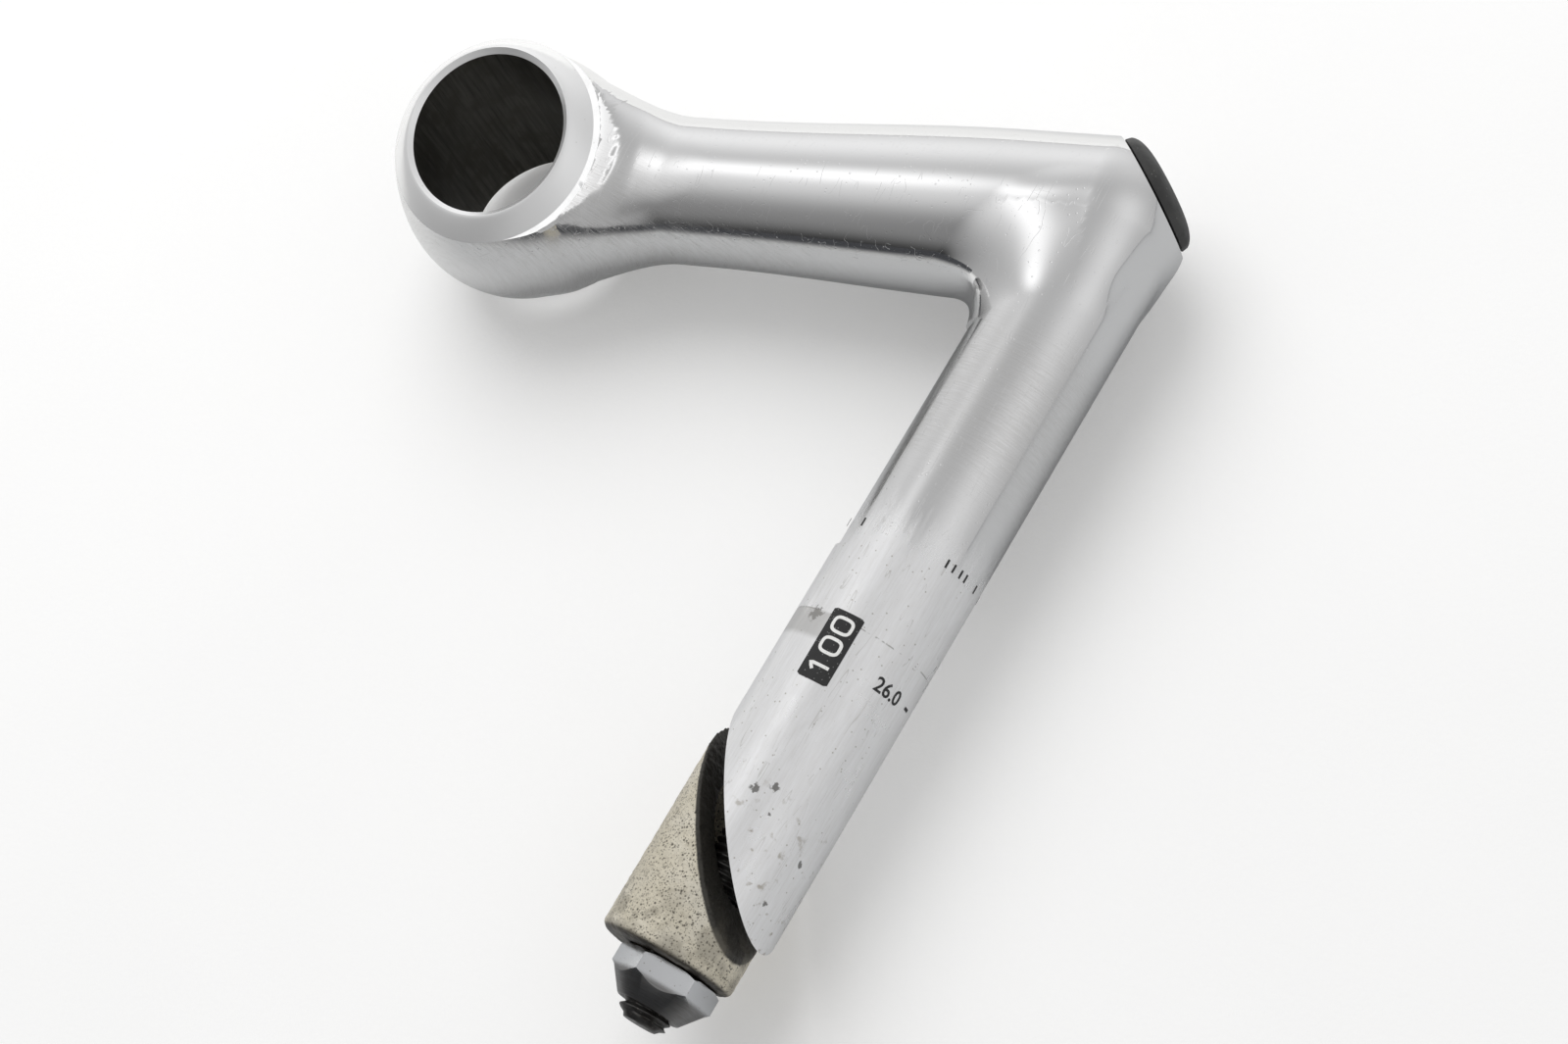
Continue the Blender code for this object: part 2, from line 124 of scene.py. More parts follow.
def plain_mesh(name, points, faces):
    mesh = bpy.data.meshes.new(name)
    mesh.from_pydata(points, [], faces)
    return linked(name, mesh)


def outward(obj):
    """Joins points that coincide and turns every face outwards."""
    work = bmesh.new()
    work.from_mesh(obj.data)
    bmesh.ops.remove_doubles(work, verts=work.verts, dist=1e-8)
    bmesh.ops.recalc_face_normals(work, faces=work.faces)
    work.to_mesh(obj.data)
    work.free()
    return obj


def mesh_object(name, points, faces, where):
    return outward(plain_mesh(name, [TO_WORLD @ where @ Vector(p) for p in points], faces))


def circle(radius, height, sides, turn=0.0):
    turns = [turn + 2 * pi * i / sides for i in range(sides)]
    return [(radius * cos(t), radius * sin(t), height) for t in turns]


def skinned(name, rings, where):
    """Closed solid through rings that all have the same number of points."""
    sides = len(rings[0])
    points = [p for ring in rings for p in ring]
    faces = []
    for k in range(len(rings) - 1):
        for i in range(sides):
            j = (i + 1) % sides
            a, b = k * sides, (k + 1) * sides
            faces.append((a + i, a + j, b + j, b + i))
    faces.append(tuple(range(sides))[::-1])
    faces.append(tuple(range(len(points) - sides, len(points))))
    return mesh_object(name, points, faces, where)


def turned(name, outline, where, sides=128):
    """Spins (height, radius) pairs round the frame's Z."""
    return skinned(name, [circle(r, h, sides) for h, r in outline], where)


def hexagon(name, flats, low, high, where, turn=0.0):
    return skinned(name, [circle(flats / sqrt(3), h, 6, turn) for h in (low, high)], where)


def settle(obj):
    """Replaces an object's mesh by what its modifiers make of it."""
    bpy.context.view_layer.update()
    graph = bpy.context.evaluated_depsgraph_get()
    mesh = bpy.data.meshes.new_from_object(obj.evaluated_get(graph))
    obj.modifiers.clear()
    obj.data = mesh
    return obj


def carve(obj, steps):
    """Runs (operation, tool) Booleans in order, then removes the tools."""
    for operation, tool in steps:
        modifier = obj.modifiers.new(tool.name, "BOOLEAN")
        modifier.operation = operation
        modifier.solver = "MANIFOLD"
        modifier.object = tool
    settle(obj)
    for _, tool in steps:
        bpy.data.objects.remove(tool)
    return obj


def smooth(obj, angle):
    obj.data.shade_smooth()
    obj.data.set_sharp_from_angle(angle=radians(angle))
    return obj


# %% [markdown]
# ## The forged body as a distance field
#
# A forging has no seams: the clamp ring, the extension and the quill run into each other
# in large fillets. Booleans would leave hard joints, and bevels fail on such long shallow
# meetings. So the body is described by distances: each piece is a function that is
# negative inside it, and a round union rounds the corner where two of them meet. The
# rounding shrinks to nothing where the two surfaces run side by side, or they would bulge.

# %% Distances to the quill, the extension and the clamp
A, U = np.array(ALONG), np.array(TOPWARD)
OUTWARD = np.array(CORNER_OUT)
QUILL_RADIUS = 11.1
QUILL_SHRINKS_FROM = -4.0
SHOULDER_RADIUS, SHOULDER_PLACE = 13.35, 15.0
NECK_RADIUS, NECK_PLACE = 11.7, 66.0
HEEL_DEPTH = 11.5
NARROWS_FROM, NARROWING = 86.0, 0.06
CLAMP_RADIUS, BARREL_FALL, BARREL_HALF = 19.4, 2.2, 12.0
CLAMP_HALF, CLAMP_TAPER, TAPER_REACH = 14.9, 0.198, 20.0
RIM_DEPTH = 2.9
STOCK_HEIGHT, STOCK_EDGE, STOCK_BLEND = 3.0, 17.3, 0.9
END_FALL, END_FALL_FROM, END_FALL_RUN = 0.2, 17.8, 5.0
ROOT_OPENS_FROM, ROOT_OPENING = 21.0, 0.3
CROTCH_ROUND, CROTCH_FADE_FROM, CROTCH_FADE_RUN = 9.6, 2.0, 8.0
ROOT_ROUND = 13.6
END_ROUND, END_ROUND_FROM, END_ROUND_RUN = 5.0, 17.4, 8.0
ENDS_FROM, FAR_INSIDE = 62.0, -50.0


def ease(t):
    t = np.clip(t, 0, 1)
    return t * t * (3 - 2 * t)


def to_quill(p):
    """The quill shrinks smoothly above the extension's axis, so that its top stays inside."""
    above = np.clip(p @ U - QUILL_SHRINKS_FROM, 0, None)
    return np.hypot(p[:, 0], p[:, 2]) - QUILL_RADIUS + NARROWING * above**2


def to_extension(p):
    """A long cone with a rounded heel; it narrows inside the clamp so that it ends there."""
    s = p @ A
    out = np.hypot(p @ U, p[:, 2])
    share = ease((s - SHOULDER_PLACE) / (NECK_PLACE - SHOULDER_PLACE))
    radius = SHOULDER_RADIUS + (NECK_RADIUS - SHOULDER_RADIUS) * share
    behind = np.clip(-s, 0, None) / HEEL_DEPTH
    heel = (np.hypot(out / SHOULDER_RADIUS, behind) - 1) * SHOULDER_RADIUS
    past = np.clip(s - NARROWS_FROM, 0, None)
    return np.where(s > 0, out - radius, heel) + NARROWING * past**2


def in_clamp(p):
    """Distance from the bar's axis, and the height along it before the ends were slanted."""
    c = p - EXTENSION_LENGTH * A
    taper = 1 + CLAMP_TAPER * np.clip(c @ U, -TAPER_REACH, TAPER_REACH) / CLAMP_HALF
    return np.hypot(c @ U, c @ A), np.abs(p[:, 2]) / taper


def to_clamp(p):
    """A barrel: widest half way between its two ends."""
    reach, height = in_clamp(p)
    return reach - (CLAMP_RADIUS - BARREL_FALL * (height / BARREL_HALF) ** 2)


def to_ends(p):
    """The clamp's two end faces, with stock left over the bore for the rim to be cut from."""
    reach, height = in_clamp(p)
    stock = STOCK_HEIGHT * (1 - ease((reach - STOCK_EDGE) / STOCK_BLEND))
    fall = END_FALL * ease((reach - END_FALL_FROM) / END_FALL_RUN)
    opening = ROOT_OPENING * np.clip(reach - ROOT_OPENS_FROM, 0, None)
    return height - (CLAMP_HALF - RIM_DEPTH) - stock + fall - opening


def gradient_of(distance, p):
    step = 1e-3 * np.eye(3)
    return np.stack([distance(p + e) - distance(p - e) for e in step], 1) / 2e-3


def slope_of(distance, p):
    g = gradient_of(distance, p)
    return g / np.maximum(np.linalg.norm(g, axis=1, keepdims=True), 1e-9)


def round_union(a, b, radius):
    u, v = np.maximum(radius - a, 0), np.maximum(radius - b, 0)
    return np.maximum(radius, np.minimum(a, b)) - np.hypot(u, v)


def crossing_of(one, other, p):
    """1 where two surfaces stand square to each other, 0 where they run side by side."""
    cosine = (slope_of(one, p) * slope_of(other, p)).sum(1)
    return np.sqrt(np.clip(1 - cosine**2, 1e-8, 1))


def to_body(p):
    """All three, rounded together: fully in the elbow's crook, not at all on its back."""
    off_back = ease((-CROTCH_FADE_FROM - p @ OUTWARD) / CROTCH_FADE_RUN)
    off_middle = ease((np.abs(p[:, 2]) - CROTCH_FADE_FROM) / CROTCH_FADE_RUN)
    crook = CROTCH_ROUND * (1 - (1 - off_back) * (1 - off_middle))
    elbow = round_union(to_quill(p), to_extension(p), crook * crossing_of(to_quill, to_extension, p))
    root = ROOT_ROUND * crossing_of(to_clamp, to_extension, p)
    whole = round_union(elbow, to_clamp(p), root)
    edge = END_ROUND * ease((in_clamp(p)[0] - END_ROUND_FROM) / END_ROUND_RUN)
    ends = np.where(p @ A > ENDS_FROM, to_ends(p), FAR_INSIDE)
    return -round_union(-whole, -ends, edge)


# %% [markdown]
# A rough union of the three solids is remeshed into even squares, and each point is then
# slid along the field's slope until its distance is zero. A little relaxing between the
# slides keeps the squares even. The result is as smooth as the formula, at any size.

# %% Wrap a mesh on the field
BLANK_HEEL, BLANK_END, BLANK_STEPS, THINNEST = -11.4, 98, 40, 2.0
SQUARE = 0.75
RELAXING_ROUNDS, ALL_ROUNDS = 7, 11
RELAXING = 0.6
LEAST_STEEPNESS, LONGEST_STEP = 0.25, 1.5
FIELD_ENDS_AT = -125


def read(items, attribute, width=1, kind=float):
    """One attribute of all the vertices, edges, faces or corners of a mesh."""
    values = np.empty(len(items) * width, kind)
    items.foreach_get(attribute, values)
    return values.reshape(-1, width) if width > 1 else values


def from_crossing(places):
    return (places - np.array(CROSSING)) / MM


def rough_body():
    outline = []
    for s in np.linspace(BLANK_HEEL, BLANK_END, BLANK_STEPS):
        outline.append((s, max(-to_extension(np.array([A * s]))[0], THINNEST)))
    body = turned("stem", outline, EXTENSION, 48)
    barrel = [(-17, 14), (-12, 17.5), (0, CLAMP_RADIUS), (12, 17.5), (17, 14)]
    ring = turned("ring_tool", barrel, CLAMP, 64)
    quill = turned("quill_tool", [(-128, QUILL_RADIUS), (-2, QUILL_RADIUS)], QUILL, 48)
    return carve(body, [("UNION", ring), ("UNION", quill)])


def wrap(obj):
    """Moves an evenly remeshed blank onto the field; gives the largest distance left."""
    modifier = obj.modifiers.new("even_squares", "REMESH")
    modifier.mode = "VOXEL"
    modifier.voxel_size = SQUARE * MM
    mesh = settle(obj).data
    points = from_crossing(read(mesh.vertices, "co", 3))
    edges = read(mesh.edges, "vertices", 2, int)
    links = np.bincount(edges.ravel(), minlength=len(points))[:, None]
    for turn in range(ALL_ROUNDS):
        if turn < RELAXING_ROUNDS:
            around = np.zeros_like(points)
            np.add.at(around, edges[:, 0], points[edges[:, 1]])
            np.add.at(around, edges[:, 1], points[edges[:, 0]])
            points += RELAXING * (around / links - points)
        keep = points[:, 1] > FIELD_ENDS_AT
        slope = gradient_of(to_body, points)
        steepness = np.maximum((slope**2).sum(1), LEAST_STEEPNESS)
        move = (to_body(points) / steepness)[:, None] * slope
        move = move.clip(-LONGEST_STEP, LONGEST_STEP)
        points = np.where(keep[:, None], points - move, points)
    mesh.vertices.foreach_set("co", (points * MM + np.array(CROSSING)).ravel())
    mesh.update()
    return np.abs(to_body(points[keep])).max()


stem = rough_body()
left = round(float(wrap(stem)), 4)
print("forged body:", len(stem.data.polygons), "squares, furthest from the field", left, "mm")

# %% [markdown]
# ## Machined faces
#
# After forging, the stem is machined: the bar bore and its polished rim, the slanted face
# for the cap, the quill's slanted end, the two shallow flats on the front of the quill and
# the bores inside. These are crisp, so they are cut with Booleans from turned tools.

# %% Cut the machined faces
BAR_RADIUS, MOUTH_RADIUS, RIM_RADIUS = 13.0, 13.8, 17.2
RIM_CURVE = 1.25
CUT_SLOPE, CUT_TURN = 1.43, radians(7)
QUILL_LENGTH = 107.0
FLAT_RADIUS, FLAT_AXIS_OFF, FLAT_LOW, FLAT_HIGH = 11.74, 1.19, -65, -25
OPENING_RADIUS = 7.8
FINE_SIDES, BORE_SIDES = 160, 96
WIDE_OPEN = 60


def slant(obj):
    """Both ends of the clamp lean out towards the stem's top side."""
    back = (TO_WORLD @ CLAMP).inverted()
    for vertex in obj.data.vertices:
        local = back @ vertex.co
        local.z *= 1 + CLAMP_TAPER * local.x / CLAMP_HALF
        vertex.co = TO_WORLD @ CLAMP @ local
    return obj


def rim_tool(side):
    """Waste beyond the clamp's curved rim."""
    rim_foot, beyond = CLAMP_HALF - RIM_DEPTH, CLAMP_HALF + 14
    outline = [(CLAMP_HALF, 1.0)]
    for t in np.linspace(0, 1, 9):
        across = MOUTH_RADIUS + (RIM_RADIUS - MOUTH_RADIUS) * t
        outline.append((CLAMP_HALF - RIM_DEPTH * t**RIM_CURVE, across))
    outline += [(rim_foot + 0.02, RIM_RADIUS + 1.1), (rim_foot + 1.5, RIM_RADIUS + 3)]
    outline += [(beyond, RIM_RADIUS + 10), (beyond, 1.0)]
    return slant(turned("rim_tool", [(side * h, r) for h, r in outline], CLAMP, FINE_SIDES))


def flat_tool():
    """Ring off the quill's axis: it shaves two shallow creased flats off the front."""
    outer = QUILL_RADIUS + 2.9
    outline = [(FLAT_LOW, FLAT_RADIUS), (FLAT_LOW, outer), (FLAT_HIGH, outer), (FLAT_HIGH, FLAT_RADIUS)]
    points = [p for h, r in outline for p in circle(r, h, FINE_SIDES)]
    faces = []
    for k in range(4):
        a, b = k * FINE_SIDES, (k + 1) % 4 * FINE_SIDES
        for i in range(FINE_SIDES):
            j = (i + 1) % FINE_SIDES
            faces.append((a + i, a + j, b + j, b + i))
    return mesh_object("flat_tool", points, faces, place((FLAT_AXIS_OFF, 0, 0), (0, 1, 0), (1, 0, 0)))


def bore_tool():
    half = [(CLAMP_HALF - 0.6, BAR_RADIUS), (CLAMP_HALF + 0.02, MOUTH_RADIUS), (CLAMP_HALF + 9, MOUTH_RADIUS)]
    return slant(turned("bore_tool", [(-h, r) for h, r in reversed(half)] + half, CLAMP, FINE_SIDES))


def slanted_tool(name, height, turn, side):
    upward = Vector((CUT_SLOPE * cos(turn), 1, CUT_SLOPE * sin(turn)))
    where = place((0, height, 0), side * upward, SIDE)
    return turned(name, [(0, WIDE_OPEN), (WIDE_OPEN, WIDE_OPEN)], where, 4)


def inner_tools():
    """Stepped bores: the bolt's in the quill, the clamp screw's in the extension, and the opening."""
    bolt_way = [(-130, 8.3), (-36, 8.3), (-35.9, 4.6), (-26, 4.6), (-25.9, 6.5), (2, 6.5)]
    screw_way = [(0, 5.4), (45.0, 5.4), (45.1, 7.0), (100, 7.0)]
    opening = [(-5, OPENING_RADIUS), (1, OPENING_RADIUS)]
    return [turned("quill_bore_tool", bolt_way, QUILL, BORE_SIDES),
            turned("extension_bore_tool", screw_way, EXTENSION, BORE_SIDES),
            turned("opening_tool", opening, CORNER, BORE_SIDES)]


corner_tool = turned("corner_tool", [(0, WIDE_OPEN), (WIDE_OPEN, WIDE_OPEN)], CORNER, 4)
quill_cut = slanted_tool("quill_cut", -QUILL_LENGTH, CUT_TURN, -1)
tools = [corner_tool, flat_tool(), quill_cut, rim_tool(1), rim_tool(-1), bore_tool(), *inner_tools()]
carve(stem, [("DIFFERENCE", tool) for tool in tools])
print("machined body:", len(stem.data.polygons), "faces")

# %% [markdown]
# Polished metal shows every fault in a mesh's normals, and a Boolean leaves thin triangles
# whose averaged normals are poor. The field knows the true direction of its surface, so
# every corner of a face that lies on the field takes its normal from there, and only the
# machined faces keep normals averaged from their own faces.

# %% True normals for the forged skin
ON_FIELD, SAME_WAY = 0.05, 0.9
SHARP_FROM = radians(30)


def true_normals(obj):
    mesh = obj.data
    mesh.shade_smooth()
    centres = from_crossing(read(mesh.polygons, "center", 3))
    facing = (slope_of(to_body, centres) * read(mesh.polygons, "normal", 3)).sum(1)
    forged = (np.abs(to_body(centres)) < ON_FIELD) & (facing > SAME_WAY)
    sizes = read(mesh.polygons, "loop_total", 1, int)
    corner_forged = forged[np.repeat(np.arange(len(sizes)), sizes)]
    edge_of = read(mesh.loops, "edge_index", 1, int)
    seen = np.zeros((len(mesh.edges), 2), bool)
    seen[edge_of[corner_forged], 0] = True
    seen[edge_of[~corner_forged], 1] = True
    mesh.set_sharp_from_angle(angle=SHARP_FROM)
    attribute = mesh.attributes.get("sharp_edge") or mesh.attributes.new("sharp_edge", "BOOLEAN", "EDGE")
    sharp = read(attribute.data, "value", 1, bool)
    attribute.data.foreach_set("value", sharp | seen.all(1))
    points = from_crossing(read(mesh.vertices, "co", 3))
    normals = slope_of(to_body, points)[read(mesh.loops, "vertex_index", 1, int)]
    normals[~corner_forged] = 0
    mesh.normals_split_custom_set(normals.tolist())
    return forged


forged = true_normals(stem)
print("faces on the field:", int(forged.sum()), "machined:", int((~forged).sum()))

# %% [markdown]
# ## Threads and cast grain by Geometry Nodes
#
# A thread follows a rule: the radius depends on the height along the axis plus the angle
# round it, once per pitch. A node tree takes a plain fine cylinder and moves each point by
# that rule, and it fades the thread out where the plain shank starts. Cast grain follows a
# rule too: a noise moves each point along its normal. Both trees take named inputs.

# %% Geometry Nodes helpers
CREST_SHARE, FLANK_STEEPNESS, CORE_SHARE = 0.06, 2.6, 0.78


def joined(tree, kind, inputs, **settings):
    """Adds a node, sets its properties, and fills its inputs from sockets or constants."""
    node = tree.nodes.new(kind)
    for key, value in settings.items():
        setattr(node, key, value)
    for key, value in inputs.items():
        if isinstance(value, bpy.types.NodeSocket):
            tree.links.new(value, node.inputs[key])
        else:
            node.inputs[key].default_value = value
    return node


def calc(tree, operation, first, second=0.0, third=0.0):
    inputs = {0: first, 1: second, 2: third}
    return joined(tree, "ShaderNodeMath", inputs, operation=operation).outputs[0]


def held(tree, value):
    """Keeps a value between 0 and 1."""
    return calc(tree, "MINIMUM", calc(tree, "MAXIMUM", value, 0.0), 1.0)


def vector(tree, operation, first, second=(0.0, 0.0, 0.0), scale=1.0):
    """Vector maths: a number for a length, distance or dot product, else a vector."""
    inputs = {0: first, 1: second, 3: scale}
    node = joined(tree, "ShaderNodeVectorMath", inputs, operation=operation)
    gives_number = operation in ("LENGTH", "DISTANCE", "DOT_PRODUCT")
    return node.outputs["Value" if gives_number else "Vector"]


def span(tree, value, low, high, first=0.0, last=1.0, kind="LINEAR"):
    """Goes from one value to another while the input goes from low to high."""
    inputs = {"Value": value, "From Min": low, "From Max": high, "To Min": first, "To Max": last}
    return joined(tree, "ShaderNodeMapRange", inputs, interpolation_type=kind).outputs[0]


def noise(tree, where, scale, detail, roughness=0.5):
    inputs = {"Vector": where, "Scale": scale, "Detail": detail, "Roughness": roughness}
    return joined(tree, "ShaderNodeTexNoise", inputs).outputs[0]


def tree_of(name, inputs):
    """Geometry Nodes tree with a geometry input and output and named float inputs."""
    tree = bpy.data.node_groups.new(name, "GeometryNodeTree")
    tree.interface.new_socket("Geometry", in_out="INPUT", socket_type="NodeSocketGeometry")
    for label in inputs:
        tree.interface.new_socket(label, in_out="INPUT", socket_type="NodeSocketFloat")
    tree.interface.new_socket("Geometry", in_out="OUTPUT", socket_type="NodeSocketGeometry")
    where = tree.nodes.new("GeometryNodeInputPosition").outputs[0]
    return tree, tree.nodes.new("NodeGroupInput").outputs, where


def close_tree(tree, given, offset):
    """Moves the points, then ends with Realize Instances and Set Material."""
    moved = joined(tree, "GeometryNodeSetPosition", {"Geometry": given["Geometry"], "Offset": offset})
    real = joined(tree, "GeometryNodeRealizeInstances", {"Geometry": moved.outputs[0]})
    last = joined(tree, "GeometryNodeSetMaterial", {"Geometry": real.outputs[0]})
    joined(tree, "NodeGroupOutput", {"Geometry": last.outputs[0]})
    return tree


def grow(obj, tree, values):
    """Runs a tree on an object with the given inputs and keeps the plain mesh."""
    modifier = obj.modifiers.new(tree.name, "NODES")
    modifier.node_group = tree
    for item in tree.interface.items_tree:
        if item.in_out == "INPUT" and item.name in values:
            modifier[item.identifier] = values[item.name]
    return settle(obj)


def thread_tree():
    """Moves points in and out round the world's Y direction, once per pitch."""
    names = ["Axis X", "Axis Z", "Pitch", "Depth", "Fade From", "Fade To", "Crest Radius"]
    tree, given, where = tree_of("screw_thread", names)
    part = joined(tree, "ShaderNodeSeparateXYZ", {0: where}).outputs
    x = calc(tree, "SUBTRACT", part[0], given["Axis X"])
    z = calc(tree, "SUBTRACT", part[2], given["Axis Z"])
    angle = calc(tree, "DIVIDE", calc(tree, "ARCTAN2", z, x), 2 * pi)
    turns = calc(tree, "ADD", calc(tree, "DIVIDE", part[1], given["Pitch"]), angle)
    wave = calc(tree, "ABSOLUTE", calc(tree, "SUBTRACT", calc(tree, "FRACT", turns), 0.5))
    flank = calc(tree, "MULTIPLY", calc(tree, "SUBTRACT", wave, CREST_SHARE), FLANK_STEEPNESS)
    fade = span(tree, part[1], given["Fade From"], given["Fade To"], 1.0, 0.0)
    across = joined(tree, "ShaderNodeCombineXYZ", {0: x, 2: z}).outputs[0]
    share = calc(tree, "DIVIDE", vector(tree, "LENGTH", across), given["Crest Radius"])
    on_skin = calc(tree, "GREATER_THAN", share, CORE_SHARE)
    cut = calc(tree, "MULTIPLY", calc(tree, "MULTIPLY", held(tree, flank), given["Depth"]),
               calc(tree, "MULTIPLY", fade, on_skin))
    inward = calc(tree, "MULTIPLY", cut, -1.0)
    return close_tree(tree, given, vector(tree, "SCALE", vector(tree, "NORMALIZE", across), scale=inward))


def grain_tree():
    """Moves points along their normals by two sizes of noise."""
    tree, given, where = tree_of("cast_grain", ["Coarse Scale", "Coarse Height", "Fine Scale", "Fine Height"])
    normal = tree.nodes.new("GeometryNodeInputNormal").outputs[0]
    heights = []
    for size in ("Coarse", "Fine"):
        centred = calc(tree, "SUBTRACT", noise(tree, where, given[size + " Scale"], 2.0), 0.5)
        heights.append(calc(tree, "MULTIPLY", centred, given[size + " Height"]))
    return close_tree(tree, given, vector(tree, "SCALE", normal, scale=calc(tree, "ADD", *heights)))


THREAD, GRAIN = thread_tree(), grain_tree()
print("trees:", THREAD.name, len(THREAD.nodes), "nodes,", GRAIN.name, len(GRAIN.nodes), "nodes")

# %% [markdown]
# The bolt is turned in one outline: a head with a hexagon socket, a plain shank, and a
# finely divided lower end that the thread tree shapes. Dividing only the threaded length
# keeps the mesh light; a modelled helix would need joining to the shank by hand.

# %% Expander bolt
BOLT_RADIUS, PITCH = 4.0, 1.25
BOLT_TIP, HEAD_UNDERSIDE, BOLT_CROWN = -139.7, -23.8, -15.8
THREAD_TOP, THREAD_FADE = -92.0, 3.0
THREAD_STEP, THREAD_DEPTH = 0.104, 0.62
KEY_FLATS, KEY_DEPTH = 6.0, 4.2


def bolt_outline():
    tip = [(BOLT_TIP, 0.6), (BOLT_TIP, 2.6), (BOLT_TIP + 0.5, 3.3), (BOLT_TIP + 0.9, BOLT_RADIUS)]
    threads = [(h, BOLT_RADIUS) for h in np.arange(BOLT_TIP + 1.0, THREAD_TOP, THREAD_STEP)]
    shank = [(h, BOLT_RADIUS) for h in (-80, -60, -40, HEAD_UNDERSIDE - 0.4)]
    head = [(HEAD_UNDERSIDE, BOLT_RADIUS + 0.3), (HEAD_UNDERSIDE, 6.0), (HEAD_UNDERSIDE + 0.3, 6.1),
            (BOLT_CROWN - 0.8, 6.1), (BOLT_CROWN - 0.2, 5.8), (BOLT_CROWN, 5.3), (BOLT_CROWN, 0.5)]
    return tip + threads + shank + head


bolt = turned("expander_bolt_threaded", bolt_outline(), QUILL, 64)
grow(bolt, THREAD, {
    "Axis X": CROSSING.x, "Axis Z": CROSSING.z, "Pitch": PITCH * MM, "Depth": THREAD_DEPTH * MM,
    "Fade From": CROSSING.y + (THREAD_TOP - THREAD_FADE) * MM, "Fade To": CROSSING.y + THREAD_TOP * MM,
    "Crest Radius": BOLT_RADIUS * MM})
key_tool = hexagon("key_tool", KEY_FLATS, BOLT_CROWN - KEY_DEPTH, BOLT_CROWN + 1, QUILL)
smooth(carve(bolt, [("DIFFERENCE", key_tool)]), 40)
print("expander bolt:", len(bolt.data.polygons), "faces, thread pitch", PITCH, "mm")

# %% [markdown]
# The nut is a hexagon whose lower end was turned to a cone, so it is the overlap of a
# hexagon and a turned outline. Intersecting the two gives the curved edges that a real nut
# has where the flats run out on the cone. Its crown has the same kind of chamfer.

# %% Expander nut
NUT_CROWN, NUT_FOOT, NUT_FLATS = -130.6, -137.3, 14.0
NUT_TURN = radians(22)
CONE_HEIGHT = 3.3
NUT_HOLE, NUT_MOUTH = 4.25, 4.75


def nut_outline():
    corner = NUT_FLATS / sqrt(3)
    foot = [(NUT_FOOT, BOLT_RADIUS + 0.9), (NUT_FOOT + 0.15, BOLT_RADIUS + 1.1)]
    cone = [(NUT_FOOT + CONE_HEIGHT, corner - 0.55), (NUT_FOOT + CONE_HEIGHT + 0.45, corner + 0.05)]
    return foot + cone + [(NUT_CROWN - 0.45, corner + 0.05), (NUT_CROWN, corner - 0.75)]


def nut_hole():
    below = [(NUT_FOOT - 1, NUT_MOUTH), (NUT_FOOT, NUT_MOUTH), (NUT_FOOT + 0.5, NUT_HOLE)]
    return below + [(NUT_CROWN - 0.5, NUT_HOLE), (NUT_CROWN, NUT_MOUTH), (NUT_CROWN + 1, NUT_MOUTH)]


nut = hexagon("expander_nut_turned", NUT_FLATS, NUT_FOOT - 1, NUT_CROWN + 1, QUILL, NUT_TURN)
carve(nut, [("INTERSECT", turned("nut_form", nut_outline(), QUILL, FINE_SIDES)),
            ("DIFFERENCE", turned("nut_hole", nut_hole(), QUILL, BORE_SIDES))])
soften = nut.modifiers.new("soften", "BEVEL")
soften.width = 0.12 * MM
soften.segments = 2
soften.limit_method = "ANGLE"
soften.angle_limit = radians(25)
smooth(settle(nut), 35)
print("expander nut:", len(nut.data.polygons), "faces")

# %% [markdown]
# The wedge was sand cast and never machined, so it has no sharp edges and a pitted skin.
# A turned blank is cut at a slant and drilled, then remeshed in small squares, which
# rounds its edges, and the grain tree raises the pits. The squares carry the grain; a
# bump texture alone would leave a clean outline against the bright background.

# %% Wedge
WEDGE_MIDDLE, WEDGE_FOOT, WEDGE_TOP = -112.0, -130.3, -90
WEDGE_RADIUS, WEDGE_HOLE = 10.55, 5.9
WEDGE_TURN, WEDGE_SIDESTEP = radians(15), 1.5
WEDGE_SQUARE = 0.27
beside = place((-WEDGE_SIDESTEP, 0, 0), (0, 1, 0), (1, 0, 0))
foot_round = [(WEDGE_FOOT, 8.9), (WEDGE_FOOT + 0.25, 9.9), (WEDGE_FOOT + 0.8, WEDGE_RADIUS)]
wedge = turned("wedge_cast", foot_round + [(WEDGE_TOP, WEDGE_RADIUS)], beside)
wedge_hole = [(WEDGE_FOOT - 10, WEDGE_HOLE), (WEDGE_TOP + 10, WEDGE_HOLE)]
carve(wedge, [("DIFFERENCE", slanted_tool("wedge_cut", WEDGE_MIDDLE, WEDGE_TURN, 1)),
              ("DIFFERENCE", turned("wedge_hole", wedge_hole, beside, BORE_SIDES))])
squares = wedge.modifiers.new("squares", "REMESH")
squares.mode = "VOXEL"
squares.voxel_size = WEDGE_SQUARE * MM
relax = wedge.modifiers.new("relax", "SMOOTH")
relax.factor = 0.6
relax.iterations = 5
settle(wedge)
grow(wedge, GRAIN, {"Coarse Scale": 700.0, "Coarse Height": 0.28 * MM,
                    "Fine Scale": 2600.0, "Fine Height": 0.22 * MM})
wedge.data.shade_smooth()
print("wedge:", len(wedge.data.polygons), "squares")

# %% [markdown]
# The cap is moulded rubber: a full dome with a rolled lip, and a hollow plug behind it
# that grips the opening. It is one turned outline that runs down the inside of the plug,
# so no Boolean is needed and the lip keeps its soft edge.

# %% Rubber cap
CAP_RADIUS, CAP_HEIGHT, PLUG_RADIUS = 9.6, 3.2, 7.5
DOME_FOOT, DOME_POWER, DOME_FLATNESS, DOME_SPACING = 0.45, 3.6, 2.2, 0.62


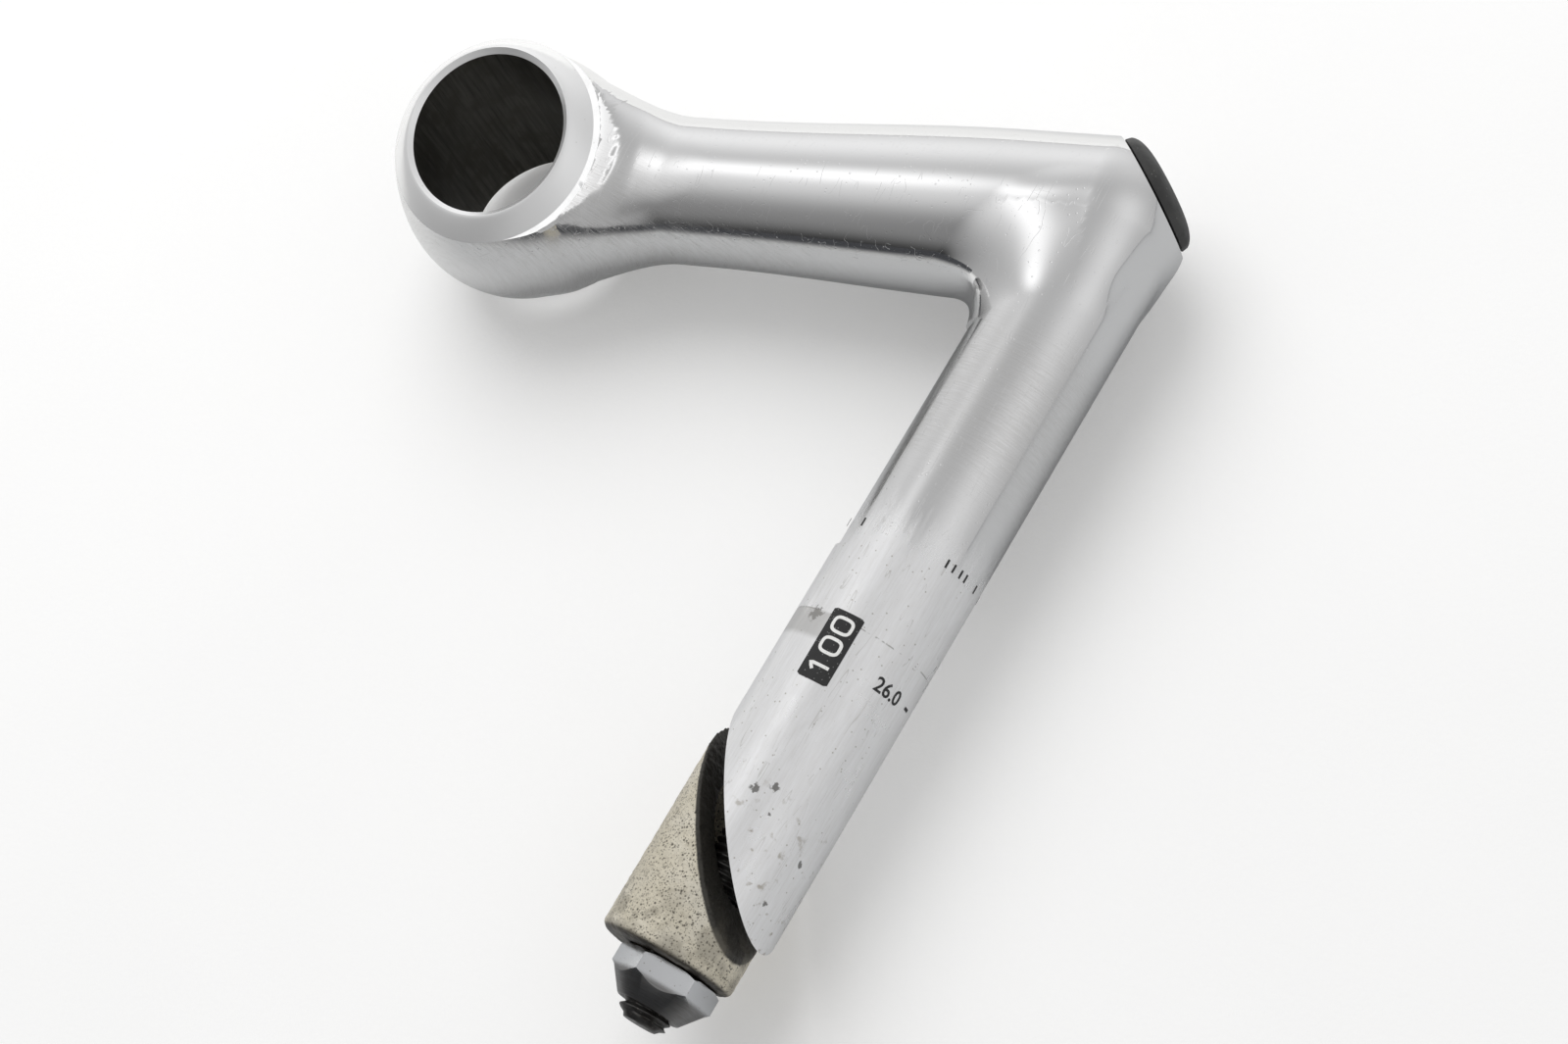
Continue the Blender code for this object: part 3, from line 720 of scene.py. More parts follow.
def cap_outline():
    hollow = [(0.9, 0.6), (0.9, 5.4), (0.5, 6.0), (-3.5, 5.8)]
    plug = [(-3.6, 6.9), (-3.2, 7.1), (0.1, PLUG_RADIUS), (0.3, PLUG_RADIUS + 0.2)]
    outline = hollow + plug + [(0.3, CAP_RADIUS - 0.25), (0.42, CAP_RADIUS - 0.06)]
    for t in np.linspace(0.04, 1, 26):
        across = CAP_RADIUS * (1 - t) ** DOME_SPACING
        rise = (1 - (across / CAP_RADIUS) ** DOME_POWER) ** (1 / DOME_FLATNESS)
        outline.append((DOME_FOOT + (CAP_HEIGHT - DOME_FOOT) * rise, max(across, 0.15)))
    return outline


cap = smooth(turned("top_cap_moulded", cap_outline(), CORNER, FINE_SIDES), 50)
print("rubber cap:", len(cap.data.polygons), "faces")

# %% [markdown]
# ## Size marks
#
# The quill carries a black stamped plate with its size, a second size beside it, a dash
# and an insertion line of short ticks. Only plain numbers are drawn. The font's outlines
# are extruded a few hundredths of a millimetre and bent round the quill, so the marks are
# thin solid skins that stand just proud of the metal, as thick ink does.

# %% Marks bent round the quill
PLATE_TURN, PLATE_UP = 85.5, -80.5
FIGURES_UP = -80.6
SECOND_TURN, SECOND_UP = 28.5, -81.7
TICKS_UP = -61.2
TICK_TURNS = (-176, -150, -124, -100, -76, -50, -24, 2, 19.6, 26, 34, 41, 120, 146, 172)
INK, FIGURE_INK = 0.02, 0.015
LIFT, FIGURE_LIFT = 0.03, 0.06
CAPITAL_SHARE = 0.69
SQUARENESS = 0.62


def bend(obj, angle, height, turned_by=0.0, lift=LIFT):
    """Wraps a flat mesh (X right, Y up, Z out) round the quill at an angle in degrees."""
    c, s = cos(turned_by), sin(turned_by)
    for vertex in obj.data.vertices:
        x, y, z = vertex.co
        across, up = c * x - s * y, s * x + c * y
        theta = radians(angle) - across / QUILL_RADIUS
        r = QUILL_RADIUS + lift + z
        vertex.co = TO_WORLD @ Vector((r * cos(theta), height + up, r * sin(theta)))
    return outward(obj)


def ribbon(name, path, width, thick, closed=False, end_drop=0.0):
    """Thin solid stroke along a flat path; its two ends may be a little narrower."""
    path = [Vector(place_on) for place_on in path]
    count = len(path)
    points = []
    for i, here in enumerate(path):
        first = not closed and i == 0
        last = not closed and i == count - 1
        run = (here if last else path[(i + 1) % count]) - (here if first else path[i - 1])
        run.normalize()
        side = Vector((-run.y, run.x)) * (width / 2 - (end_drop if first or last else 0))
        low, high = here - side, here + side
        points += [(*low, -thick), (*high, -thick), (*high, thick), (*low, thick)]
    faces = []
    for i in range(count if closed else count - 1):
        a, b = 4 * i, 4 * ((i + 1) % count)
        faces += [(a + k, a + (k + 1) % 4, b + (k + 1) % 4, b + k) for k in range(4)]
    if not closed:
        faces += [(3, 2, 1, 0), tuple(4 * count - 4 + k for k in range(4))]
    return plain_mesh(name, points, faces)


def strip(name, width, height, end_drop=0.0):
    """Straight ribbon cut into narrow lengths, so that it can bend."""
    count = max(2, int(width / 0.5)) + 1
    path = [(x, 0) for x in np.linspace(-width / 2, width / 2, count)]
    return ribbon(name, path, height, INK, end_drop=end_drop)


def number(name, text, tall, stretch):
    """Plain extruded figures, centred, of a given height."""
    data = bpy.data.curves.new(name, "FONT")
    data.body = text
    data.size = tall / CAPITAL_SHARE
    data.extrude = 0.012
    data.offset = 0.05
    data.align_x = "CENTER"
    data.align_y = "CENTER"
    data.resolution_u = 3
    shape = linked(name, data)
    settled = bpy.data.meshes.new_from_object(shape)
    bpy.data.objects.remove(shape)
    for vertex in settled.vertices:
        vertex.co.x *= stretch
    return linked(name, settled)


def nought(wide, tall, centre):
    """Rounded rectangle, as a stamped 0."""
    path = []
    for t in np.linspace(0, 2 * pi, 40, endpoint=False) + 0.03:
        c, s = cos(t), sin(t)
        across = np.sign(c) * abs(c) ** SQUARENESS
        path.append((centre + wide / 2 * across, tall / 2 * np.sign(s) * abs(s) ** SQUARENESS))
    return path


plate = bend(strip("size_plate", 5.1, 11.3, 0.25), PLATE_TURN, PLATE_UP)
one = [(-4.0, 0.75), (-3.55, 1.15)] + [(-3.05, y) for y in np.linspace(1.5, -1.55, 10)]
strokes = {"size_figure_0a": nought(2.3, 3.0, 0.15), "size_figure_0b": nought(2.3, 3.0, 3.55),
           "size_figure_1": one}
figures = []
for name, path in strokes.items():
    figure = ribbon(name, path, 0.5, FIGURE_INK, closed=path is not one)
    figures.append(bend(figure, PLATE_TURN, FIGURES_UP, pi / 2, FIGURE_LIFT))
second = bend(number("bar_figures", "26.0", 2.2, 0.98), SECOND_TURN, SECOND_UP)
dash = bend(strip("dash", 1.3, 0.5), 0, SECOND_UP)
ticks = []
for k, turn in enumerate(TICK_TURNS):
    ticks.append(bend(strip(f"insertion_tick_{k:02d}", 0.34, 1.35), turn, TICKS_UP))
print("marks:", 3 + len(figures) + len(ticks), "thin skins")

# %% [markdown]
# ## Shared shader effects
#
# Five effects appear in several finishes, so each is a node group with named inputs: the
# position in millimetres, scattered specks, drawn or turned lines, soft clouds and thin
# scratches. The groups give only a position or a mask; every material keeps its own shader.

# %% Effects as node groups
def effect(name, output, kind="Float", **inputs):
    """Empty shader node group; a triple makes a vector input, a number a float input."""
    tree = bpy.data.node_groups.new(name, "ShaderNodeTree")
    for label, value in inputs.items():
        socket = "NodeSocketVector" if isinstance(value, tuple) else "NodeSocketFloat"
        tree.interface.new_socket(label, in_out="INPUT", socket_type=socket).default_value = value
    tree.interface.new_socket(output, in_out="OUTPUT", socket_type="NodeSocket" + kind)
    return tree, tree.nodes.new("NodeGroupInput").outputs


def close_effect(tree, result):
    joined(tree, "NodeGroupOutput", {0: result})
    return tree


def position_effect():
    """Object position in millimetres from the crossing of the axes."""
    tree, _ = effect("millimetres", "Position", "Vector")
    where = tree.nodes.new("ShaderNodeTexCoord").outputs["Object"]
    moved = vector(tree, "ADD", where, tuple(-CROSSING))
    return close_effect(tree, vector(tree, "SCALE", moved, scale=1 / MM))


def specks_effect():
    """Small dark or raised spots: Voronoi cells, of which only some are filled."""
    tree, given = effect("specks", "Mask", Position=(0, 0, 0), Scale=1.0, Size=0.2, Share=0.3)
    cells = joined(tree, "ShaderNodeTexVoronoi", {"Vector": given["Position"], "Scale": given["Scale"]})
    inner = calc(tree, "MULTIPLY", given["Size"], 0.5)
    edge = span(tree, cells.outputs["Distance"], inner, given["Size"], 1.0, 0.0)
    chosen = joined(tree, "ShaderNodeSeparateColor", {0: cells.outputs["Color"]}).outputs[0]
    filled = calc(tree, "LESS_THAN", chosen, given["Share"])
    return close_effect(tree, calc(tree, "MULTIPLY", edge, filled))


def lines_effect():
    """Fine lines: a noise stretched by a vector, from 0 to 1."""
    tree, given = effect("drawn_lines", "Mask", Position=(0, 0, 0), Stretch=(1, 1, 1), Contrast=2.0)
    stretched = vector(tree, "MULTIPLY", given["Position"], given["Stretch"])
    centred = calc(tree, "SUBTRACT", noise(tree, stretched, 1.0, 4.0, 0.65), 0.5)
    return close_effect(tree, held(tree, calc(tree, "MULTIPLY_ADD", centred, given["Contrast"], 0.5)))


def clouds_effect():
    """Soft patches between two limits of a noise."""
    tree, given = effect("clouds", "Mask", Position=(0, 0, 0), Scale=0.2, Low=0.4, High=0.6)
    patches = noise(tree, given["Position"], given["Scale"], 5.0)
    return close_effect(tree, span(tree, patches, given["Low"], given["High"], kind="SMOOTHSTEP"))


def scratches_effect():
    """Thin scratches: a band of a warped noise where it crosses its middle value."""
    tree, given = effect("scratches", "Mask", Position=(0, 0, 0), Stretch=(1, 1, 1), Width=0.01, Cover=0.5)
    stretched = vector(tree, "MULTIPLY", given["Position"], given["Stretch"])
    off = calc(tree, "ABSOLUTE", calc(tree, "SUBTRACT", noise(tree, stretched, 1.0, 1.0), 0.5))
    thin = span(tree, off, 0.0, given["Width"], 1.0, 0.0)
    here = calc(tree, "LESS_THAN", noise(tree, given["Position"], 0.35, 3.0), given["Cover"])
    return close_effect(tree, calc(tree, "MULTIPLY", thin, here))


MILLIMETRES = position_effect()
EFFECTS = {tree.name: tree for tree in (specks_effect(), lines_effect(), clouds_effect(), scratches_effect())}
print("shared effects:", MILLIMETRES.name, *EFFECTS)

# %% [markdown]
# A material is built by a small class that keeps the node tree and the position socket,
# so that each finish reads as a short list of what is on the surface.

# %% Material helper
HEIGHT, DEPTH = 1, 2  # places in a position


class Finish:
    def __init__(self, name, colour, metallic, roughness):
        self.material = bpy.data.materials.new(name)
        self.material.use_nodes = True
        self.tree = self.material.node_tree
        self.shader = self.tree.nodes["Principled BSDF"]
        self.colour = (*colour, 1.0)
        self.metallic = metallic
        self.roughness = roughness
        self.height = None
        self.position = joined(self.tree, "ShaderNodeGroup", {}, node_tree=MILLIMETRES).outputs[0]

    def mask(self, name, **values):
        """One of the shared effects, from 0 to 1."""
        inputs = {"Position": self.position, **values}
        return joined(self.tree, "ShaderNodeGroup", inputs, node_tree=EFFECTS[name]).outputs[0]

    def times(self, first, second):
        return calc(self.tree, "MULTIPLY", first, second)

    def without(self, mask):
        return calc(self.tree, "SUBTRACT", 1.0, mask)

    def along(self, axis, low, high):
        """0 below one place on an axis and 1 above another, in millimetres."""
        part = joined(self.tree, "ShaderNodeSeparateXYZ", {0: self.position}).outputs[axis]
        return span(self.tree, part, low, high, kind="SMOOTHSTEP")

    def below(self, low, high):
        return self.without(self.along(HEIGHT, low, high))

    def band(self, rise, fall):
        """1 between two heights; each edge is a pair of heights."""
        return self.times(self.along(HEIGHT, *rise), self.below(*fall))

    def beyond(self, direction, low, high):
        """0 to 1 across a slab square to a direction, in millimetres."""
        part = vector(self.tree, "DOT_PRODUCT", self.position, tuple(direction))
        return span(self.tree, part, low, high, kind="SMOOTHSTEP")

    def spot(self, theta, height, size):
        """1 inside a small ragged spot on the quill's skin, given by its angle and height."""
        t = radians(theta)
        ragged = self.mask("clouds", Scale=1.6, Low=0.3, High=0.7)
        centre = (QUILL_RADIUS * cos(t), height, QUILL_RADIUS * sin(t))
        away = vector(self.tree, "DISTANCE", self.position, centre)
        wide = calc(self.tree, "MULTIPLY_ADD", ragged, size, size * 0.5)
        return span(self.tree, away, self.times(wide, 0.7), wide, 1.0, 0.0)

    def tint(self, mask, colour, strength=1.0):
        inputs = {0: self.times(mask, strength), 6: self.colour, 7: (*colour, 1.0)}
        self.colour = joined(self.tree, "ShaderNodeMix", inputs, data_type="RGBA").outputs[2]

    def rough(self, mask, value, strength=1.0):
        inputs = {0: self.times(mask, strength), 2: self.roughness, 3: value}
        self.roughness = joined(self.tree, "ShaderNodeMix", inputs).outputs[0]

    def metal(self, mask, value):
        self.metallic = joined(self.tree, "ShaderNodeMix", {0: mask, 2: self.metallic, 3: value}).outputs[0]

    def raise_by(self, mask, millimetres):
        step = self.times(mask, millimetres * MM)
        self.height = step if self.height is None else calc(self.tree, "ADD", self.height, step)

    def done(self):
        ends = {"Base Color": self.colour, "Roughness": self.roughness, "Metallic": self.metallic}
        if self.height is not None:
            inputs = {"Height": self.height, "Distance": 1.0, "Strength": 1.0}
            ends["Normal"] = joined(self.tree, "ShaderNodeBump", inputs).outputs[0]
        for socket, value in ends.items():
            if isinstance(value, bpy.types.NodeSocket):
                self.tree.links.new(value, self.shader.inputs[socket])
            else:
                self.shader.inputs[socket].default_value = value
        return self.material


print("finishes are built with", Finish.__name__)

# %% [markdown]
# The alloy is polished to a mirror on the clamp and the extension. Down the quill the
# polish gives way to a satin finish that has been in and out of a steerer tube: brushed
# across, speckled, scuffed lengthwise and dented near its cut, the dents as dark spots of
# painted shade. One material does both, since on the real piece they fade into each other.

# %% Polished and satin alloy
POLISHED, SATIN = (0.86, 0.86, 0.855), (0.94, 0.943, 0.946)
RIM_BRIGHT, BORE_PAINTED_SHADE = (0.95, 0.95, 0.945), (0.16, 0.155, 0.14)
BRUSHED_SHADE, WEAR_SHADE = (0.66, 0.65, 0.63), (0.72, 0.71, 0.69)
SPECK_BROWN, FINE_SPECK, SCUFF_GREY = (0.42, 0.39, 0.34), (0.5, 0.47, 0.42), (0.55, 0.54, 0.51)
STAIN_BROWN, DENT_PAINTED_SHADE = (0.4, 0.36, 0.3), (0.09, 0.085, 0.075)
RING_GREY, SMUDGE_GREY = (0.3, 0.29, 0.27), (0.42, 0.41, 0.39)
DENTS = ((79.5, -103.7, 0.75), (67, -102.2, 0.7), (60.5, -106, 0.28), (18, -109.4, 0.6),
         (101, -111, 0.7), (112, -76.8, 1.2), (28, -117, 0.5))  # angle, height, size


def alloy_material():
    f = Finish("polished_alloy", POLISHED, 1.0, 0.05)
    ragged = f.mask("drawn_lines", Stretch=(0.9, 0.12, 0.9), Contrast=2.4)
    polish = calc(f.tree, "MULTIPLY_ADD", f.along(HEIGHT, -68, -50), 1.9, f.times(ragged, -0.9))
    satin = f.without(held(f.tree, polish))
    brushed_zone = f.band((-60, -40), (-30, -18))
    f.rough(satin, 0.4)
    f.tint(satin, SATIN)
    f.metal(satin, 0.62)
    f.rough(f.mask("clouds", Scale=0.16, Low=0.42, High=0.72), 0.1, 0.5)
    brushed = f.times(f.mask("drawn_lines", Stretch=(0.35, 5.0, 0.35), Contrast=2.6), brushed_zone)
    f.rough(brushed, 0.34, 0.8)
    f.tint(brushed, BRUSHED_SHADE, 0.5)
    wear = f.times(f.mask("drawn_lines", Stretch=(2.4, 0.22, 2.4), Contrast=2.4), satin)
    f.tint(wear, WEAR_SHADE, 0.45)
    f.rough(wear, 0.3, 0.5)
    specks = f.mask("specks", Scale=1.15, Size=0.2, Share=0.34)
    f.tint(f.times(specks, satin), SPECK_BROWN, 0.7)
    fine = f.mask("specks", Scale=3.1, Size=0.17, Share=0.12)
    f.tint(fine, FINE_SPECK, 0.55)
    f.rough(fine, 0.4, 0.8)
    scuffs = f.mask("scratches", Stretch=(0.5, 0.045, 0.5), Width=0.006, Cover=0.5)
    f.tint(f.times(scuffs, satin), SCUFF_GREY, 0.6)
    nicks = f.mask("scratches", Stretch=(0.035, 0.5, 0.35), Width=0.0035, Cover=0.4)
    f.rough(nicks, 0.4, 0.7)
    stains = f.times(f.mask("clouds", Scale=0.55, Low=0.6, High=0.72), f.along(HEIGHT, -96, -112))
    f.tint(stains, STAIN_BROWN, 0.75)
    # Each dent is only a dark spot: painted shade of a hollow that the mesh doesn't have.
    for dent in DENTS:
        f.tint(f.spot(*dent), DENT_PAINTED_SHADE, 0.8)
    broken = f.mask("clouds", Scale=0.5, Low=0.5, High=0.56)
    f.tint(f.times(f.band((-76.3, -76.15), (-76.1, -75.95)), broken), RING_GREY, 0.7)
    smudge = f.times(f.beyond((-0.45, 0, 0.89), 8.2, 9.8), f.band((-80.8, -79.6), (-76.4, -75.8)))
    f.tint(smudge, SMUDGE_GREY, 0.55)
    f.raise_by(specks, -0.012)
    f.raise_by(scuffs, -0.006)
    f.raise_by(nicks, -0.002)
    f.raise_by(f.times(f.mask("drawn_lines", Stretch=(0.5, 7.0, 0.5), Contrast=2.0), satin), 0.006)
    return f.done()


def bore_material():
    # The bore's dark base colour is painted shade inside the clamp, with darker streaks and patches over it.
    f = Finish("clamp_bore_painted_shade", BORE_PAINTED_SHADE, 0.85, 0.5)
    streaks = f.mask("drawn_lines", Stretch=(1.5, 1.5, 0.08), Contrast=3.0)
    f.tint(streaks, (0.05, 0.048, 0.04), 0.8)
    f.tint(f.mask("clouds", Scale=0.3, Low=0.45, High=0.65), (0.09, 0.085, 0.07), 0.7)
    f.rough(streaks, 0.35, 0.6)
    f.raise_by(streaks, 0.02)
    return f.done()


def rim_material():
    f = Finish("machined_rim", RIM_BRIGHT, 0.68, 0.17)
    f.tint(f.mask("specks", Scale=1.1, Size=0.14, Share=0.12), (0.5, 0.48, 0.45), 0.6)
    f.rough(f.mask("clouds", Scale=0.3, Low=0.4, High=0.7), 0.28, 0.6)
    return f.done()


ALLOY, BORE, RIM = alloy_material(), bore_material(), rim_material()

# %% [markdown]
# The other finishes: cast alloy with a grey-beige greasy skin, bright plated steel with
# turned rings, blackened steel, and matt rubber. The ink of the marks is two plain paints
# with a little wear.

# %% Cast, plated, blackened, rubber and ink
CAST_BEIGE, CAST_PALE, CAST_SHADE = (0.66, 0.61, 0.49), (0.74, 0.7, 0.6), (0.42, 0.38, 0.29)
FOOT_BLACK, CUT_FACE_GREASE_AND_SHADE, GREASE = (0.03, 0.027, 0.022), (0.018, 0.017, 0.015), (0.2, 0.18, 0.14)
PLATE_BRIGHT, CONE_DARK, CONE_GREY = (0.76, 0.77, 0.78), (0.2, 0.19, 0.17), (0.2, 0.195, 0.19)
STEEL_BLACK, STEEL_OIL, STEEL_RUST = (0.12, 0.118, 0.112), (0.05, 0.045, 0.04), (0.36, 0.33, 0.28)
RUBBER_BLACK, RUBBER_GREY, RUBBER_DUST = (0.03, 0.03, 0.029), (0.05, 0.05, 0.048), (0.16, 0.16, 0.15)
INK_BLACK, INK_WHITE, INK_WORN = (0.02, 0.02, 0.02), (0.82, 0.82, 0.8), (0.4, 0.4, 0.39)


def cast_material():
    f = Finish("cast_wedge", CAST_BEIGE, 0.35, 0.48)
    f.tint(f.mask("clouds", Scale=0.14, Low=0.4, High=0.66), CAST_PALE, 0.7)
    f.tint(f.mask("clouds", Scale=0.6, Low=0.52, High=0.7), CAST_SHADE, 0.4)
    f.tint(f.mask("specks", Scale=1.5, Size=0.34, Share=0.4), (0.05, 0.045, 0.035), 0.9)
    f.tint(f.mask("specks", Scale=2.4, Size=0.4, Share=0.55), (0.1, 0.09, 0.07), 0.85)
    f.tint(f.mask("specks", Scale=4.0, Size=0.4, Share=0.5), (0.12, 0.105, 0.08), 0.8)
    f.tint(f.below(-130.0, -129.5), FOOT_BLACK, 0.95)
    # The slanted cut face is painted near black: grease, and painted shade of the gap between wedge and
    # quill.
    facing = Vector((CUT_SLOPE * cos(WEDGE_TURN), 1, CUT_SLOPE * sin(WEDGE_TURN))).normalized()
    level = facing.y * WEDGE_MIDDLE
    f.tint(f.beyond(facing, level - 0.75, level - 0.45), CUT_FACE_GREASE_AND_SHADE, 0.96)
    smear = f.times(f.mask("clouds", Scale=0.24, Low=0.44, High=0.6), f.below(-127, -119))
    f.tint(smear, GREASE, 0.45)
    f.rough(f.mask("clouds", Scale=0.6, Low=0.4, High=0.6), 0.34, 0.6)
    f.raise_by(f.mask("clouds", Scale=1.6, Low=0.3, High=0.7), 0.05)
    return f.done()


def plated_material():
    f = Finish("plated_steel", PLATE_BRIGHT, 1.0, 0.12)
    f.rough(f.mask("clouds", Scale=0.35, Low=0.4, High=0.7), 0.34, 0.6)
    turned_lines = f.mask("drawn_lines", Stretch=(0.4, 9.0, 0.4), Contrast=2.2)
    cone = f.below(-134.4, -133.4)
    f.tint(f.times(turned_lines, cone), CONE_DARK, 0.9)
    f.tint(cone, CONE_GREY, 0.75)
    f.rough(cone, 0.42, 0.8)
    f.tint(f.mask("specks", Scale=1.6, Size=0.22, Share=0.3), (0.3, 0.27, 0.22), 0.7)
    f.raise_by(turned_lines, 0.006)
    return f.done()


def dark_steel_material():
    f = Finish("dark_steel", STEEL_BLACK, 0.9, 0.33)
    f.tint(f.mask("clouds", Scale=0.5, Low=0.45, High=0.65), STEEL_OIL, 0.8)
    f.tint(f.mask("specks", Scale=2.2, Size=0.25, Share=0.25), STEEL_RUST, 0.7)
    f.rough(f.mask("clouds", Scale=1.2, Low=0.4, High=0.65), 0.55, 0.6)
    f.raise_by(f.mask("drawn_lines", Stretch=(0.6, 5.0, 0.6), Contrast=2.0), 0.01)
    return f.done()


def rubber_material():
    f = Finish("black_rubber", RUBBER_BLACK, 0.0, 0.52)
    f.tint(f.mask("clouds", Scale=0.2, Low=0.4, High=0.7), RUBBER_GREY, 0.8)
    f.tint(f.mask("specks", Scale=1.6, Size=0.22, Share=0.14), RUBBER_DUST, 0.6)
    f.rough(f.mask("clouds", Scale=0.5, Low=0.4, High=0.66), 0.7, 0.7)
    f.raise_by(f.mask("clouds", Scale=2.4, Low=0.3, High=0.7), 0.014)
    return f.done()


def ink_material(name, colour):
    f = Finish(name, colour, 0.0, 0.45)
    f.tint(f.mask("specks", Scale=2.6, Size=0.3, Share=0.3), INK_WORN, 0.5)
    f.rough(f.mask("clouds", Scale=0.8, Low=0.4, High=0.6), 0.6, 0.6)
    return f.done()


CAST, PLATED = cast_material(), plated_material()
DARK, RUBBER = dark_steel_material(), rubber_material()
BLACK_INK, WHITE_INK = ink_material("black_ink", INK_BLACK), ink_material("white_ink", INK_WHITE)
print("materials:", len(bpy.data.materials))

# %% [markdown]
# ## Put the pieces on the frame
#
# Each piece rides the body it moves with and stands for its imported node. The bar bore
# gets its own material by where its faces are. The screw, the bush, the plunger and the
# washer are hidden inside the stem, so their imported meshes only take better finishes.

# %% Ride, replace and give the finishes
BORE_NUMBER, RIM_NUMBER = 1, 2
SIDEWAYS = 0.3


def dress(obj, body, material, nodes=()):
    obj.data.materials.clear()
    obj.data.materials.append(material)
    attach(obj, body)
    if nodes:
        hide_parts(*nodes)


def clamp_faces(obj):
    """Material number of each face: the bar's bore, the machined rim, or plain alloy."""
    back = (TO_WORLD @ CLAMP).inverted()
    bore_edge, rim_edge = BAR_RADIUS + 0.1, RIM_RADIUS + 1.15
    numbers = []
    for face in obj.data.polygons:
        local = back @ face.center
        normal = (back.to_3x3() @ face.normal).normalized()
        reach = sqrt(local.x**2 + local.y**2)
        height = abs(local.z) / (1 + CLAMP_TAPER * local.x / CLAMP_HALF)
        upright = abs(normal.z) > SIDEWAYS
        lines_bore = reach < bore_edge and height < CLAMP_HALF + 0.1 and not upright
        on_rim = bore_edge <= reach < rim_edge and height > CLAMP_HALF - RIM_DEPTH - 0.05 and upright
        numbers.append(BORE_NUMBER if lines_bore else RIM_NUMBER if on_rim else 0)
    return numbers


numbers = clamp_faces(stem)
dress(stem, "stem", ALLOY, ["stem_body"])
stem.data.materials.append(BORE)
stem.data.materials.append(RIM)
stem.data.polygons.foreach_set("material_index", numbers)
dress(cap, "cap", RUBBER, ["top_cap"])
dress(wedge, "wedge_body", CAST, ["wedge"])
dress(nut, "nut", PLATED, ["expander_nut"])
dress(bolt, "bolt", DARK, ["expander_bolt"])
for mark in [plate, second, dash] + ticks:
    dress(mark, "stem", BLACK_INK)
for figure in figures:
    dress(figure, "stem", WHITE_INK)
hidden = {"clamp_bush": PLATED, "clamp_screw": DARK, "clamp_plunger": PLATED, "expander_washer": PLATED}
for node, material in hidden.items():
    mesh = frame["nodes"][node].data
    for k in range(len(mesh.materials)):
        mesh.materials[k] = material
print("bore faces:", numbers.count(BORE_NUMBER), "rim faces:", numbers.count(RIM_NUMBER))

# %% [markdown]
# ## Light, floor and camera
#
# Polished metal is a picture of its surroundings. The room is painted on the world as
# soft panels: each is a direction, a sharpness and a strength added to an even grey. The
# panels stand where the bright and dark bands of such a studio table are: a window high
# on one side, a pale wall behind, a dark camera side.

# %% World of soft panels
ROOM_GREY, DARKEST = 0.45, 0.03
PANELS = {  # azimuth from +X and elevation in degrees, sharpness, strength
    "dark side of the room": (-100, 0, 14, -0.4),
    "dark side, higher up": (-95, 40, 16, -0.18),
    "dim corner": (-130, 12, 12, -0.14),
    "lamp over the clamp": (-155, 63, 18, 0.27),
    "window": (172, 61, 60, 0.62),
    "pale wall behind": (140, 20, 9, 0.44),
    "far wall": (95, 15, 6, 0.25),
    "ceiling light": (10, 42, 9, 0.28),
    "side wall": (-15, 5, 14, 0.2),
}


def direction_of(azimuth, elevation):
    a, e = radians(azimuth), radians(elevation)
    return Vector((cos(e) * cos(a), cos(e) * sin(a), sin(e)))


def panel_effect():
    tree, given = effect("soft_panel", "Light", Direction=(0, 0, 0), Towards=(0, 0, 1),
                         Sharpness=10.0, Strength=0.2)
    facing = vector(tree, "DOT_PRODUCT", given["Direction"], given["Towards"])
    short = calc(tree, "SUBTRACT", facing, 1.0)
    glow = calc(tree, "EXPONENT", calc(tree, "MULTIPLY", short, given["Sharpness"]))
    return close_effect(tree, calc(tree, "MULTIPLY", glow, given["Strength"]))


def room():
    world = bpy.data.worlds.new("studio_room")
    world.use_nodes = True
    tree = world.node_tree
    seen = tree.nodes.new("ShaderNodeTexCoord").outputs["Generated"]
    panel, total = panel_effect(), ROOM_GREY
    for azimuth, elevation, sharpness, strength in PANELS.values():
        inputs = {"Direction": seen, "Towards": direction_of(azimuth, elevation),
                  "Sharpness": sharpness, "Strength": strength}
        light = joined(tree, "ShaderNodeGroup", inputs, node_tree=panel).outputs[0]
        total = calc(tree, "ADD", light, total)
    total = calc(tree, "MAXIMUM", total, DARKEST)
    bluer = calc(tree, "MULTIPLY", total, 1.01)
    shade = joined(tree, "ShaderNodeCombineColor", {0: total, 1: total, 2: bluer})
    tree.links.new(shade.outputs[0], tree.nodes["Background"].inputs["Color"])
    bpy.context.scene.world = world


room()
bpy.context.scene.view_settings.view_transform = "Standard"
print("room:", len(PANELS), "panels")

# %% [markdown]
# The stem lies on a pale sheet of paper. A key light that the metal doesn't mirror
# brightens the sheet and casts the soft shadow. The metal alone sees a dark card beside
# the camera, which draws the dark line under a polished tube, and a dimmer sheet whose
# painted shade on the camera's side stands for the sheet's shadow near the stem.

# %% Floor, key light and camera
SHEET_HALF, DIM_SHEET_HALF, DIM_SHEET_UP = 3.0, 2.9, 0.0001
CARD_LEFT, CARD_RIGHT, CARD_PLACE, CARD_TOP = -0.2, 0.1, -0.09, 0.037
KEY_AZIMUTH, KEY_ELEVATION, KEY_DISTANCE, KEY_SIZE, KEY_POWER = 135, 56, 0.9, 0.9, 4.9
EYE = (211.2, -181.4, 443.2)
CAMERA_TURN = (25.67, 17.06, 31.78)
LENS = 78.75


def square(name, half, height):
    turns = ((-1, -1), (1, -1), (1, 1), (-1, 1))
    return plain_mesh(name, [(half * x, half * y, height) for x, y in turns], [(0, 1, 2, 3)])


